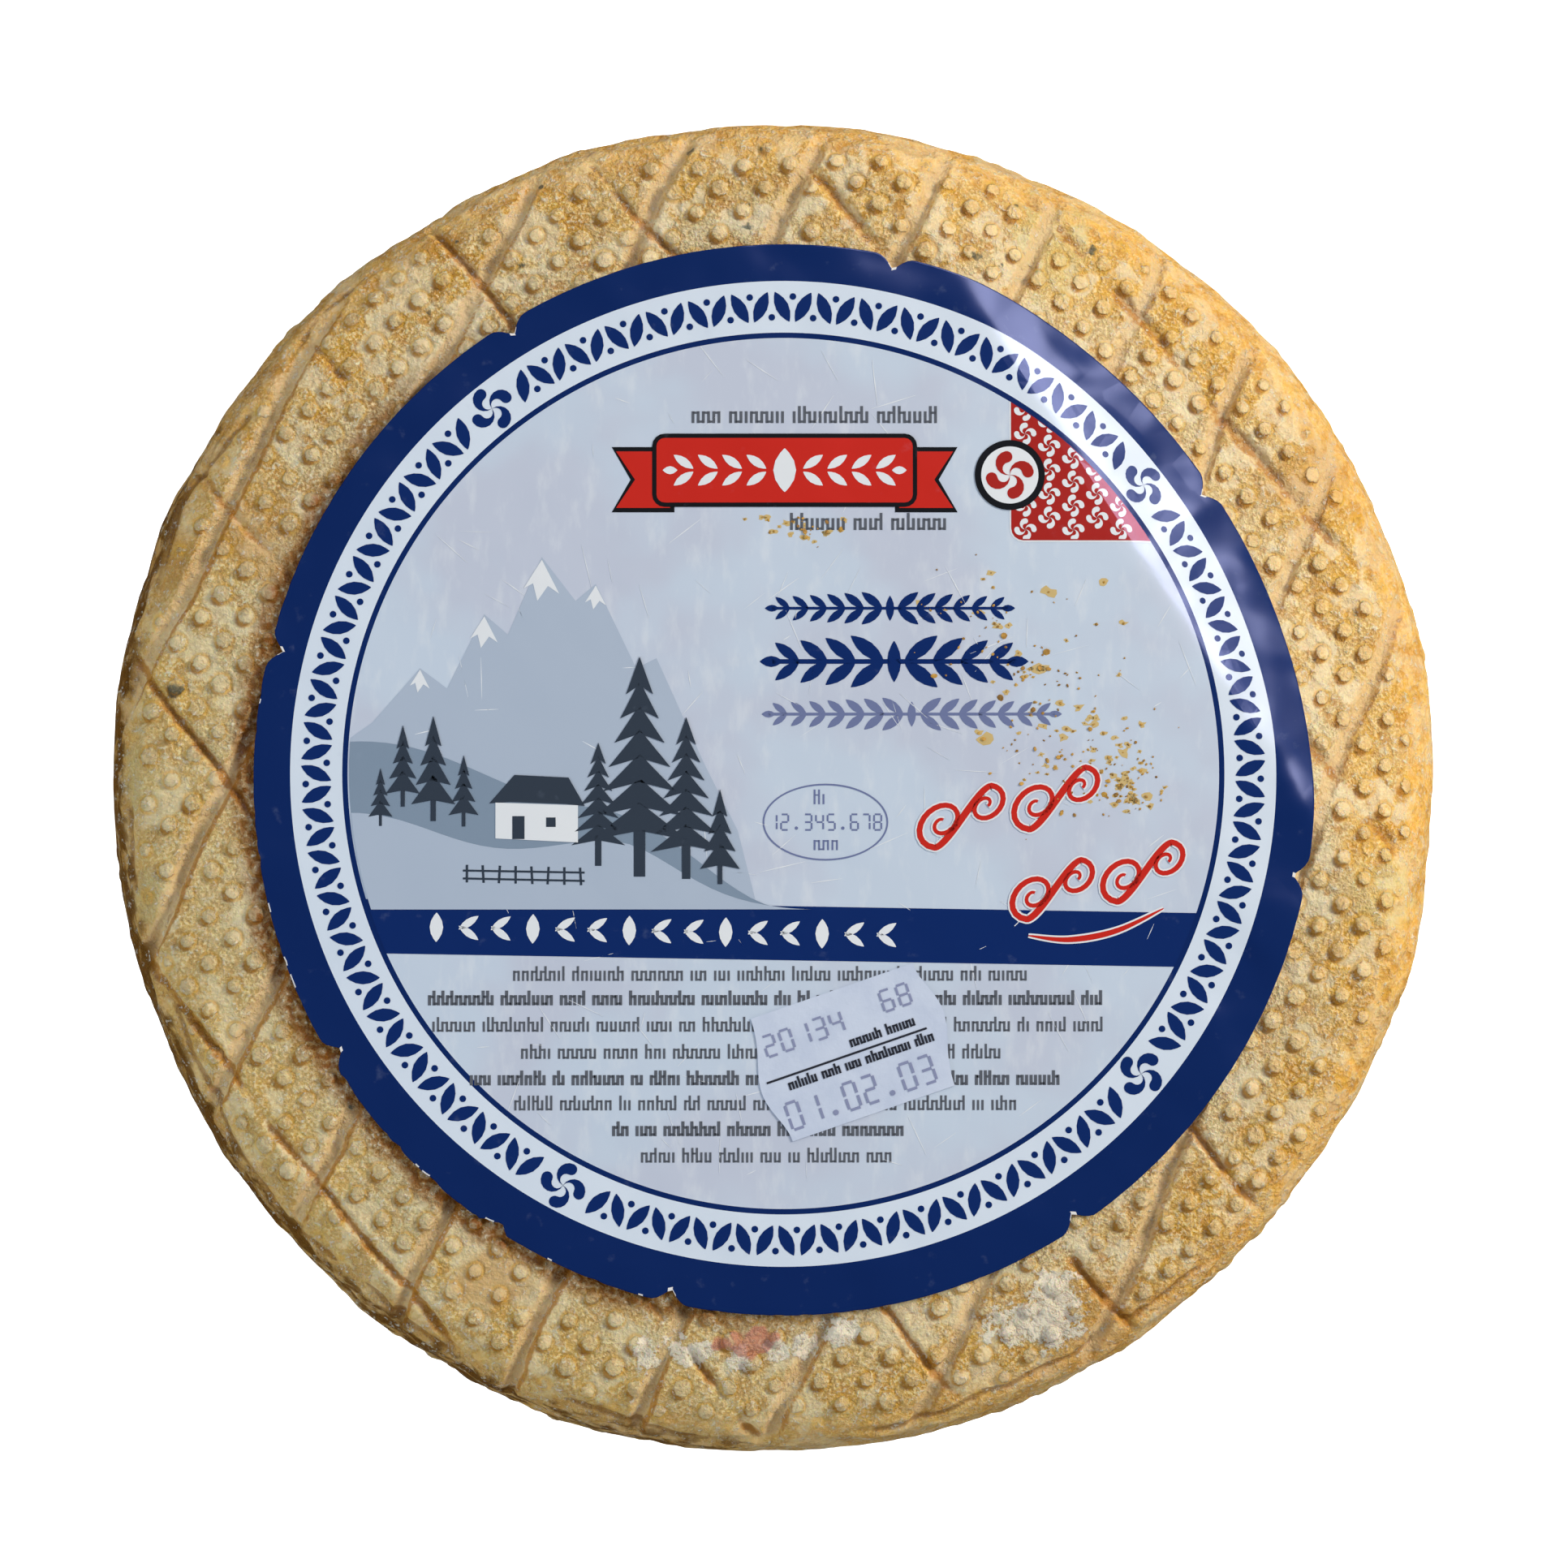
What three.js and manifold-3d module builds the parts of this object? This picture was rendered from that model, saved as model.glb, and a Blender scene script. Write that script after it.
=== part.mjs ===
// A round wheel of semi-hard cheese lying flat: pressed rind, round paper label, small date sticker.
// Millimetres, +Z up. The origin is the centre of the flat base.

import * as THREE from 'three';
import { mergeVertices } from 'three/addons/utils/BufferGeometryUtils.js';
import Module from 'manifold-3d';

// ---------------------------------------------------------------------------
// Driving dimensions, in millimetres and degrees
// ---------------------------------------------------------------------------

// The wheel
const WHEEL_RADIUS = 100; // at half height
const WHEEL_HEIGHT = 80;
const SHOULDER_RADIUS = 10; // rounding between a face and the side
const SIDE_BULGE = 0.3; // how far the side swells between its two shoulders
const WHEEL_SEGMENTS = 64;

// The wheel is a little out of round: each lobe is [waves round the rim, height, direction of a crest]
const RIM_LOBES = [
  [1, 0.5, 140],
  [2, 0.25, 64.5],
  [3, 0.33, 27.4],
  [4, 0.18, -21.6],
];

// On one side the top has slumped: it falls away along straight lines across one direction
const SLUMP_DIRECTION = 33;
const SLUMP_START = 61; // distance from the axis where the fall begins
const SLUMP_STEEP = 25; // slope of the first stretch
const SLUMP_STEEP_START_WIDTH = 7;
const SLUMP_EASE = 78; // distance where the slope eases
const SLUMP_EASE_WIDTH = 6;
const SLUMP_GENTLE = 14; // slope from there to the shoulder
const SLUMP_FADE_HEIGHT = 25; // below this the side keeps its shape
const SLUMP_BULGE = 1.6; // how far the slumped side has spread outwards
const SLUMP_BULGE_WIDTH = 45; // half its width round the rim

// Two families of straight grooves, pressed by the mould's liner into both faces
const GROOVE_WIDTH = 3.4;
const GROOVE_BED = 0.8; // width of its bed
const GROOVE_DEPTH = 1.1;
const STEEP_GROOVES = 10;
const STEEP_ANGLE = 63;
const STEEP_ANGLE_FAN = 0.42; // each groove turns by this much from the one before
const STEEP_FIRST = -91.5; // distance of the first groove from the axis
const STEEP_PITCH = 18.6;
const FLAT_GROOVES = 8;
const FLAT_ANGLE = 131.1;
const FLAT_ANGLE_FAN = -0.35;
const FLAT_FIRST = 87.2;
const FLAT_PITCH = -23.6;
const FLAT_PITCH_GROWTH = -0.24;
const GROOVE_INNER_END = 74; // the label hides the face inside this radius
const GROOVE_OVERRUN = 4; // how far the cut runs past the rim
const GROOVE_STEP = 6; // length of a straight piece where the face slumps

// Pimples between the grooves, where the liner's holes let the curd through
const PIMPLE_PITCH = 4.83; // along the two diagonals of the pattern
const PIMPLE_DIAMETER = 2.8;
const PIMPLE_RISE = 0.65;
const PIMPLE_SIDES = 6;
const PIMPLE_ANCHOR = [46.5, 68.2]; // the middle of one pimple
const PIMPLE_DRIFT = 0.9; // slow wander of the pattern
const PIMPLE_JITTER = 0.22; // scatter of one pimple
const PIMPLE_LIMIT = 94.5; // no pimples further out than this
const PIMPLE_GROOVE_GAP = 0.35; // between a pimple's middle and a groove's edge
const PIMPLE_LABEL_GAP = 0.2; // between a pimple's foot and the label's edge
const PIMPLE_SEED = 17;

// The label
const LABEL_RADIUS = 79.1;
const LABEL_THICKNESS = 0.25;
const LABEL_CENTRE = [0.9, 0.6];
const LABEL_GAP = 0.6; // it lies on the tops of pimples, clear of the rind between them
const NOTCHES = 8;
const NOTCH_FIRST = 32.6;
const NOTCH_WOBBLE = 1.67; // the notches are not evenly spaced
const NOTCH_WOBBLE_PHASE = 36;
const NOTCH_WIDTH = 6;
const NOTCH_DEPTH = 1.4;

// The date sticker
const STICKER_WIDTH = 25.3;
const STICKER_DEPTH = 19.1;
const STICKER_WAVE = 1.9; // swell of its cut ends
const STICKER_THICKNESS = 0.15;
const STICKER_CENTRE = [11.0, -39.8];
const STICKER_TURN = 19;
const STICKER_GAP = 0.05;

// Colours
const RIND_COLOUR = '#c9aa78';
const LABEL_COLOUR = '#1b2f68';
const STICKER_COLOUR = '#dfe5ef';

// ---------------------------------------------------------------------------
// The form of the wheel
// ---------------------------------------------------------------------------

const radians = THREE.MathUtils.degToRad;
const slope = (angle) => Math.tan(radians(angle));
const SHOULDER_START = WHEEL_RADIUS - SIDE_BULGE - SHOULDER_RADIUS;
const SLUMP = new THREE.Vector2(Math.cos(radians(SLUMP_DIRECTION)), Math.sin(radians(SLUMP_DIRECTION)));

// Repeatable random numbers from 0 to 1.
function seededRandom(seed) {
  let state = seed;
  return () => {
    state = (state * 1664525 + 1013904223) % 4294967296;
    return state / 4294967296;
  };
}

// Zero up to start, then a line of slope 1, with a soft corner of the given width.
function softRamp(distance, start, width) {
  const t = (distance - start) / width;
  if (t <= 0) return 0;
  if (t >= 1) return width * (t - 0.5);
  return width * (t ** 3 - t ** 4 / 2);
}

// How far the slumped side of the top lies below the rest, at a distance along the slump's direction.
function slumpAlong(distance) {
  const steep = slope(SLUMP_STEEP) * softRamp(distance, SLUMP_START, SLUMP_STEEP_START_WIDTH);
  const eased = slope(SLUMP_STEEP) - slope(SLUMP_GENTLE);
  return steep - eased * softRamp(distance, SLUMP_EASE, SLUMP_EASE_WIDTH);
}

const slumpAt = (x, y) => slumpAlong(x * SLUMP.x + y * SLUMP.y);

// How far the rim stands outside or inside the true circle, in a direction in radians.
function rimOffset(direction) {
  let offset = 0;
  for (const [waves, height, crest] of RIM_LOBES) {
    offset += height * Math.cos(waves * (direction - radians(crest)));
  }
  const turn = Math.cos(direction - radians(SLUMP_DIRECTION));
  const edge = Math.cos(radians(SLUMP_BULGE_WIDTH));
  const share = THREE.MathUtils.smoothstep(turn, edge, 1);
  return offset + SLUMP_BULGE * share;
}

// A point of the round, level form, moved to where the out-of-round, slumped form has it.
function settled(radius, height, direction) {
  const share = (radius / WHEEL_RADIUS) ** 3;
  const reach = radius + rimOffset(direction) * share;
  const x = reach * Math.cos(direction);
  const y = reach * Math.sin(direction);
  const sinking = THREE.MathUtils.smoothstep(height, SLUMP_FADE_HEIGHT, WHEEL_HEIGHT);
  return new THREE.Vector3(x, y, height - slumpAt(x, y) * sinking);
}

// Height of the top surface, shoulder included, above a point of the base.
function topHeight(x, y) {
  const reach = Math.hypot(x, y);
  const direction = Math.atan2(y, x);
  const share = (reach / WHEEL_RADIUS) ** 3;
  const past = Math.max(0, reach - rimOffset(direction) * share - SHOULDER_START);
  const drop = SHOULDER_RADIUS - Math.sqrt(Math.max(0, SHOULDER_RADIUS ** 2 - past ** 2));
  const level = WHEEL_HEIGHT - drop;
  const sinking = THREE.MathUtils.smoothstep(level, SLUMP_FADE_HEIGHT, WHEEL_HEIGHT);
  return level - slumpAt(x, y) * sinking;
}

// The section of the wheel from the top's middle to the base's middle, as [radius, height] pairs.
function wheelSection() {
  const section = [];
  const flatSteps = 6;
  for (let i = 0; i <= flatSteps; i += 1) {
    section.push([SLUMP_START + ((SHOULDER_START - SLUMP_START) * i) / flatSteps, WHEEL_HEIGHT]);
  }
  const arcSteps = 4;
  const arc = (top) => (i) => {
    const turn = (i / arcSteps) * (Math.PI / 2);
    const centre = top ? WHEEL_HEIGHT - SHOULDER_RADIUS : SHOULDER_RADIUS;
    const rise = SHOULDER_RADIUS * Math.cos(turn) * (top ? 1 : -1);
    return [SHOULDER_START + SHOULDER_RADIUS * Math.sin(turn), centre + rise];
  };
  for (let i = 1; i <= arcSteps; i += 1) section.push(arc(true)(i));
  section.push([WHEEL_RADIUS, WHEEL_HEIGHT / 2]);
  for (let i = arcSteps; i >= 0; i -= 1) section.push(arc(false)(i));
  return section;
}

// ---------------------------------------------------------------------------
// Closed meshes, and solids that can be joined and cut
// ---------------------------------------------------------------------------

const wasm = await Module();
wasm.setup();

// Six times the volume inside a closed mesh, negative when its faces point inwards.
function signedVolume(points, faces) {
  let sum = 0;
  for (let i = 0; i < faces.length; i += 3) {
    const [a, b, c] = [points[faces[i]], points[faces[i + 1]], points[faces[i + 2]]];
    sum += a.dot(new THREE.Vector3().crossVectors(b, c));
  }
  return sum;
}

// A geometry from points and triangles, turned so that its faces point outwards.
function closedGeometry(points, faces) {
  if (signedVolume(points, faces) < 0) faces.reverse();
  const geometry = new THREE.BufferGeometry().setFromPoints(points);
  geometry.setIndex(faces);
  return geometry;
}

// A closed skin over rings of equally many points, shut by a point or by a fan at each end.
function ringSkin(rings, firstPole, lastPole) {
  const count = rings[0].length;
  const points = [firstPole, ...rings.flat(), lastPole];
  const at = (ring, i) => 1 + ring * count + (i % count);
  const faces = [];
  for (let i = 0; i < count; i += 1) {
    faces.push(0, at(0, i), at(0, i + 1));
    faces.push(points.length - 1, at(rings.length - 1, i + 1), at(rings.length - 1, i));
    for (let ring = 0; ring < rings.length - 1; ring += 1) {
      faces.push(at(ring, i), at(ring + 1, i), at(ring + 1, i + 1));
      faces.push(at(ring, i), at(ring + 1, i + 1), at(ring, i + 1));
    }
  }
  return closedGeometry(points, faces);
}

function toSolid(geometry) {
  const bare = geometry.clone();
  bare.deleteAttribute('normal');
  bare.deleteAttribute('uv');
  const merged = mergeVertices(bare);
  return new wasm.Manifold(new wasm.Mesh({
    numProp: 3,
    vertProperties: new Float32Array(merged.attributes.position.array),
    triVerts: new Uint32Array(merged.index.array),
  }));
}

function toGeometry(solid) {
  const mesh = solid.getMesh();
  const geometry = new THREE.BufferGeometry();
  geometry.setAttribute('position', new THREE.BufferAttribute(mesh.vertProperties, 3));
  geometry.setIndex(new THREE.BufferAttribute(mesh.triVerts, 1));
  return geometry;
}

// ---------------------------------------------------------------------------
// The cheese
// ---------------------------------------------------------------------------

function wheelBody() {
  const rings = wheelSection().map(([radius, height]) => {
    const ring = [];
    for (let i = 0; i < WHEEL_SEGMENTS; i += 1) {
      ring.push(settled(radius, height, (i / WHEEL_SEGMENTS) * 2 * Math.PI));
    }
    return ring;
  });
  return ringSkin(rings, new THREE.Vector3(0, 0, WHEEL_HEIGHT), new THREE.Vector3());
}

// Every groove as a line: its direction, the direction across it, and its distance from the axis.
function grooveLines() {
  const line = (angle, offset) => {
    const turn = radians(angle);
    return {
      along: new THREE.Vector2(Math.cos(turn), Math.sin(turn)),
      across: new THREE.Vector2(Math.sin(turn), -Math.cos(turn)),
      offset,
    };
  };
  const lines = [];
  for (let k = 0; k < STEEP_GROOVES; k += 1) {
    lines.push(line(STEEP_ANGLE + STEEP_ANGLE_FAN * k, STEEP_FIRST + STEEP_PITCH * k));
  }
  for (let k = 0; k < FLAT_GROOVES; k += 1) {
    const offset = FLAT_FIRST + FLAT_PITCH * k + FLAT_PITCH_GROWTH * k * k;
    lines.push(line(FLAT_ANGLE + FLAT_ANGLE_FAN * k, offset));
  }
  return lines;
}

// The stretches of a line that lie between the label's cover and the rim, as [from, to] pairs along it.
function bareStretches(line) {
  const outer = Math.sqrt((WHEEL_RADIUS + GROOVE_OVERRUN) ** 2 - line.offset ** 2);
  if (Math.abs(line.offset) >= GROOVE_INNER_END) return [[-outer, outer]];
  const inner = Math.sqrt(GROOVE_INNER_END ** 2 - line.offset ** 2);
  return [[-outer, -inner], [inner, outer]];
}

// The bar that a stretch of groove is cut with. It follows a face of the wheel out past the rim, and not
// the shoulder, so that the groove runs out where the shoulder falls away from it. The height of the
// face is levelAt(x, y), and inwards is -1 for the top and 1 for the base.
function grooveCutter(line, [from, to], levelAt, inwards) {
  const lift = 0.5; // how far the bar stands out of the face
  const flare = (lift * (GROOVE_WIDTH - GROOVE_BED)) / 2 / GROOVE_DEPTH;
  const corners = [
    [-GROOVE_WIDTH / 2 - flare, -lift],
    [-GROOVE_BED / 2, GROOVE_DEPTH],
    [GROOVE_BED / 2, GROOVE_DEPTH],
    [GROOVE_WIDTH / 2 + flare, -lift],
  ];
  const pointAt = (side, t) => new THREE.Vector2()
    .addScaledVector(line.across, line.offset + side)
    .addScaledVector(line.along, t);
  const steps = Math.ceil((to - from) / GROOVE_STEP);
  const slumps = [from, to].some((t) => slumpAlong(pointAt(0, t).dot(SLUMP)) > 0);
  const stations = [];
  for (let i = 0; i <= steps; i += slumps ? 1 : steps) stations.push(from + ((to - from) * i) / steps);
  const rings = stations.map((t) => corners.map(([side, depth]) => {
    const { x, y } = pointAt(side, t);
    return new THREE.Vector3(x, y, levelAt(x, y) + depth * inwards);
  }));
  const middleOf = (ring) => new THREE.Box3().setFromPoints(ring).getCenter(new THREE.Vector3());
  return ringSkin(rings, middleOf(rings[0]), middleOf(rings[rings.length - 1]));
}

const distanceFromLine = (line, x, y) => Math.abs(x * line.across.x + y * line.across.y - line.offset);

// The middles of the pimples that stand clear of the label, the grooves and the rim.
function pimplePlaces(lines) {
  const random = seededRandom(PIMPLE_SEED);
  const places = [];
  const reach = Math.ceil((2 * WHEEL_RADIUS) / PIMPLE_PITCH);
  const diagonal = PIMPLE_PITCH * Math.SQRT1_2;
  const wave = (2 * Math.PI) / WHEEL_RADIUS;
  const clear = GROOVE_WIDTH / 2 + PIMPLE_GROOVE_GAP;
  for (let i = -reach; i <= reach; i += 1) {
    for (let j = -reach; j <= reach; j += 1) {
      const evenX = PIMPLE_ANCHOR[0] + (i - j) * diagonal;
      const evenY = PIMPLE_ANCHOR[1] - (i + j) * diagonal;
      const x = evenX + PIMPLE_DRIFT * Math.sin(wave * evenY) + PIMPLE_JITTER * (random() * 2 - 1);
      const y = evenY + PIMPLE_DRIFT * Math.sin(wave * evenX) + PIMPLE_JITTER * (random() * 2 - 1);
      const fromLabel = Math.hypot(x - LABEL_CENTRE[0], y - LABEL_CENTRE[1]) - labelReach(x, y);
      const onRind = fromLabel > PIMPLE_DIAMETER / 2 + PIMPLE_LABEL_GAP && Math.hypot(x, y) < PIMPLE_LIMIT;
      if (onRind && lines.every((line) => distanceFromLine(line, x, y) > clear)) places.push([x, y]);
    }
  }
  return places;
}

// A low cone, standing square on the rind with its foot sunk into it.
function pimple(x, y) {
  const foot = 0.4; // depth of the foot
  const radius = (PIMPLE_DIAMETER / 2) * (1 + foot / PIMPLE_RISE);
  const geometry = new THREE.ConeGeometry(radius, PIMPLE_RISE + foot, PIMPLE_SIDES);
  const step = 0.5;
  const normal = new THREE.Vector3(
    (topHeight(x - step, y) - topHeight(x + step, y)) / (2 * step),
    (topHeight(x, y - step) - topHeight(x, y + step)) / (2 * step),
    1,
  ).normalize();
  geometry.applyQuaternion(new THREE.Quaternion().setFromUnitVectors(new THREE.Vector3(0, 1, 0), normal));
  const middle = new THREE.Vector3(x, y, topHeight(x, y)).addScaledVector(normal, (PIMPLE_RISE - foot) / 2);
  return geometry.translate(middle.x, middle.y, middle.z);
}

function cheeseGeometry() {
  const lines = grooveLines();
  const topLevel = (x, y) => WHEEL_HEIGHT - slumpAt(x, y);
  const baseLevel = () => 0;
  let solid = toSolid(wheelBody());
  for (const line of lines) {
    for (const stretch of bareStretches(line)) {
      solid = solid.subtract(toSolid(grooveCutter(line, stretch, topLevel, -1)));
      solid = solid.subtract(toSolid(grooveCutter(line, stretch, baseLevel, 1)));
    }
  }
  for (const [x, y] of pimplePlaces(lines)) solid = solid.add(toSolid(pimple(x, y)));
  return toGeometry(solid);
}

// ---------------------------------------------------------------------------
// The label
// ---------------------------------------------------------------------------

// Paper bends but does not stretch: a point of the flat label, moved towards the axis so that its
// distance along the slumped surface stays what it was on the flat label.
function laidOver(x, y) {
  const flat = x * SLUMP.x + y * SLUMP.y;
  const step = 0.25;
  let along = Math.min(flat, SLUMP_START);
  let level = along;
  while (along < flat) {
    const fall = slumpAlong(level + step) - slumpAlong(level);
    const length = Math.hypot(step, fall);
    const part = Math.min(1, (flat - along) / length);
    level += step * part;
    along += length * part;
  }
  return [x - (flat - level) * SLUMP.x, y - (flat - level) * SLUMP.y];
}

// The label's radius as it lies, in the direction of a point.
function labelReach(x, y) {
  const direction = Math.atan2(y - LABEL_CENTRE[1], x - LABEL_CENTRE[0]);
  const edge = laidOver(
    LABEL_CENTRE[0] + LABEL_RADIUS * Math.cos(direction),
    LABEL_CENTRE[1] + LABEL_RADIUS * Math.sin(direction),
  );
  return Math.hypot(edge[0] - LABEL_CENTRE[0], edge[1] - LABEL_CENTRE[1]);
}

// The flat label's edge as [direction in radians, radius] pairs, once round, with a dip at each notch.
function labelEdge() {
  const edge = [];
  const halfNotch = (NOTCH_WIDTH / 2 / LABEL_RADIUS) * (180 / Math.PI);
  const evenSteps = 6;
  const notchAt = (k) => {
    const even = (360 / NOTCHES) * k;
    return NOTCH_FIRST + even + NOTCH_WOBBLE * Math.cos(radians(even + NOTCH_WOBBLE_PHASE));
  };
  for (let k = 0; k < NOTCHES; k += 1) {
    edge.push([radians(notchAt(k)), LABEL_RADIUS - NOTCH_DEPTH]);
    const from = notchAt(k) + halfNotch;
    const to = notchAt(k + 1) - halfNotch;
    for (let i = 0; i <= evenSteps; i += 1) {
      edge.push([radians(from + ((to - from) * i) / evenSteps), LABEL_RADIUS]);
    }
  }
  return edge;
}

// A thin sheet that lies on the rind, its two faces split alike. The outline is a closed row of flat
// [x, y] points round a centre, and shares are the sizes of its inner rings.
function paperSheet(outline, centre, shares, gap, thickness) {
  const face = (lift) => shares.map((share) => outline.map(([x, y]) => {
    const [laidX, laidY] = laidOver(centre[0] + (x - centre[0]) * share, centre[1] + (y - centre[1]) * share);
    return new THREE.Vector3(laidX, laidY, WHEEL_HEIGHT - slumpAt(laidX, laidY) + lift);
  }));
  const low = face(gap);
  const high = face(gap + thickness).reverse();
  const poleAt = (lift) => new THREE.Vector3(centre[0], centre[1], WHEEL_HEIGHT + lift);
  return ringSkin([...low, ...high], poleAt(gap), poleAt(gap + thickness));
}

function labelGeometry() {
  const outline = labelEdge().map(([direction, radius]) => [
    LABEL_CENTRE[0] + radius * Math.cos(direction),
    LABEL_CENTRE[1] + radius * Math.sin(direction),
  ]);
  const shares = [0.78, 0.85, 0.925, 1];
  return paperSheet(outline, LABEL_CENTRE, shares, LABEL_GAP, LABEL_THICKNESS);
}

// ---------------------------------------------------------------------------
// The date sticker
// ---------------------------------------------------------------------------

// Straight long sides, and ends cut in a wave that swells outwards over half of its length.
function stickerGeometry() {
  const turn = radians(STICKER_TURN);
  const waveSteps = 8;
  const corner = (side, t) => {
    const swell = STICKER_WAVE * Math.sin(Math.PI * t) ** 2 * (1 + 0.5 * Math.cos(Math.PI * t));
    return [side * (STICKER_WIDTH / 2 + swell), side * STICKER_DEPTH * (0.5 - t)];
  };
  const outline = [];
  for (const side of [1, -1]) {
    for (let i = waveSteps; i >= 0; i -= 1) outline.push(corner(side, i / waveSteps));
  }
  const placed = outline.map(([x, y]) => [
    STICKER_CENTRE[0] + x * Math.cos(turn) - y * Math.sin(turn),
    STICKER_CENTRE[1] + x * Math.sin(turn) + y * Math.cos(turn),
  ]);
  const gap = LABEL_GAP + LABEL_THICKNESS + STICKER_GAP;
  return paperSheet(placed, STICKER_CENTRE, [1], gap, STICKER_THICKNESS);
}

// ---------------------------------------------------------------------------
// The object
// ---------------------------------------------------------------------------

function piece(name, geometry, colour, roughness) {
  const material = new THREE.MeshStandardMaterial({ color: colour, roughness, metalness: 0 });
  geometry.computeVertexNormals();
  const mesh = new THREE.Mesh(geometry, material);
  mesh.name = name;
  return mesh;
}

const cheese = new THREE.Group();
cheese.add(piece('cheese_wheel', cheeseGeometry(), RIND_COLOUR, 0.6));
cheese.add(piece('paper_label', labelGeometry(), LABEL_COLOUR, 0.3));
cheese.add(piece('date_sticker', stickerGeometry(), STICKER_COLOUR, 0.5));

export default cheese;
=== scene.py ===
"""A wheel of pressed goat's milk cheese lying flat, with its round paper label and a date sticker.

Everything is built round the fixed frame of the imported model. Sizes and places are in millimetres and
angles in degrees until a mesh is finished, and its points are metres from then on.
"""

from __future__ import annotations

import logging
import math
import random
from collections.abc import Callable, Iterable, Sequence
from dataclasses import dataclass, field
from enum import Enum

import bmesh
import bpy
import numpy as np
from mathutils import Euler, Matrix, Vector, noise

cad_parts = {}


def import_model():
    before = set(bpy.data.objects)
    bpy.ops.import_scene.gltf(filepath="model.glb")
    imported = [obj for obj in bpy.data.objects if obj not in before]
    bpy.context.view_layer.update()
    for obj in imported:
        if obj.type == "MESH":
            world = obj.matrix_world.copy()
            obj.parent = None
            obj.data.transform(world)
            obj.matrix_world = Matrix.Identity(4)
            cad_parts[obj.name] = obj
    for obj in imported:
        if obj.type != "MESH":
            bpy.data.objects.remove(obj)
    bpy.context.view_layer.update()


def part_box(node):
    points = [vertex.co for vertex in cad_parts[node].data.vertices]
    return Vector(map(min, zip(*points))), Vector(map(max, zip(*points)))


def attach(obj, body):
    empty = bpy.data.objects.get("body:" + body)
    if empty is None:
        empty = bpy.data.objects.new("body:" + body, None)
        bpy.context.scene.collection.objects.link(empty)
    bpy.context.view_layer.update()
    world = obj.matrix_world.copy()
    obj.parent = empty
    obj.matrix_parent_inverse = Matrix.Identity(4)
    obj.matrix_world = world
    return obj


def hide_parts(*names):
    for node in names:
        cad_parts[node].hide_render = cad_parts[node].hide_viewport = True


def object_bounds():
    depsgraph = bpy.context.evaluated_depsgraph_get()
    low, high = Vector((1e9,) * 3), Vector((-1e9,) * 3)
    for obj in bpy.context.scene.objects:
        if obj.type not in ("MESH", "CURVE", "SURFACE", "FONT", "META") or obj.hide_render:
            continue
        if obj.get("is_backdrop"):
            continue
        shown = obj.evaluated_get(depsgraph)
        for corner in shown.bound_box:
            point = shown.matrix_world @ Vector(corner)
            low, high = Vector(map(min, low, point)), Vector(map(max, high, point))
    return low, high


LOG = logging.getLogger("cheese")
MM = 0.001
FULL_TURN = 2 * math.pi
BODY = "root"

Array = np.ndarray
Socket = bpy.types.NodeSocket
Point = tuple[float, float]


# --- Small tools ---


def linear(colour: str) -> tuple[float, float, float, float]:
    """Turns an sRGB hex colour into the linear colour that a shader works in.

    Args:
        colour: The colour as "#rrggbb".

    Returns:
        Red, green, blue and an alpha of 1.
    """
    parts = [int(colour[i : i + 2], 16) / 255 for i in (1, 3, 5)]
    red, green, blue = [p / 12.92 if p <= 0.04045 else ((p + 0.055) / 1.055) ** 2.4 for p in parts]
    return red, green, blue, 1.0


def smooth(value: Array, low: float, high: float) -> Array:
    """Rises smoothly from 0 at low to 1 at high."""
    t = np.clip((value - low) / (high - low), 0.0, 1.0)
    return t * t * (3 - 2 * t)


def facing(direction: Array, towards: float, low: float, high: float) -> Array:
    """Rises from 0 to 1 as points lie more towards a direction in degrees; low and high are cosines."""
    return smooth(np.cos(direction - math.radians(towards)), low, high)


def raise_to(values: Array, index: Array, least: Array) -> None:
    """Raises the indexed values to the least they may have."""
    values[index] = np.maximum(values[index], least)


def heading(direction: float, length: float = 1.0) -> Point:
    """A step of a length in a direction in degrees."""
    turn = math.radians(direction)
    return length * math.cos(turn), length * math.sin(turn)


def between(direction: float, other: float) -> float:
    """The turn from one direction to another in degrees, -180 to 180."""
    return (other - direction + 180) % 360 - 180


LATTICE_SIZE = 64
LATTICE = np.random.default_rng(7).uniform(-1.0, 1.0, (LATTICE_SIZE,) * 3)


def grain(x: Array, y: Array, z: Array, size: float, seed: float = 0.0) -> Array:
    """Soft noise at each point, with a finer layer on it.

    Args:
        x: The points' places along X.
        y: Their places along Y.
        z: Their places along Z.
        size: The width of one bump of the noise.
        seed: Moves the pattern, so that two layers differ.

    Returns:
        One value a point, about -1 to 1.
    """
    total = np.zeros(len(x))
    for layer_size, share in ((size, 0.95), (size * 0.47, 0.4)):
        cells = [
            (0.8 * x + 0.6 * y) / layer_size + seed,
            (0.8 * y - 0.6 * x + 0.3 * z) / layer_size - 1.3 * seed,
            z / layer_size + 1.7 * seed,
        ]
        low = [np.floor(c).astype(int) for c in cells]
        part = [c - f for c, f in zip(cells, low)]
        part = [p * p * p * (p * (p * 6 - 15) + 10) for p in part]
        for corner in range(8):
            ends = [(corner >> axis) & 1 for axis in range(3)]
            weight = share * np.prod([p if end else 1 - p for p, end in zip(part, ends)], axis=0)
            total += weight * LATTICE[tuple((f + end) % LATTICE_SIZE for f, end in zip(low, ends))]
    return total


def layered(x: Array, y: Array, z: Array, layers: Sequence[tuple[float, float, float]]) -> Array:
    """Adds layers of soft noise, each with its height, its size and its seed."""
    return sum(height * grain(x, y, z, size, seed) for height, size, seed in layers)


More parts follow.
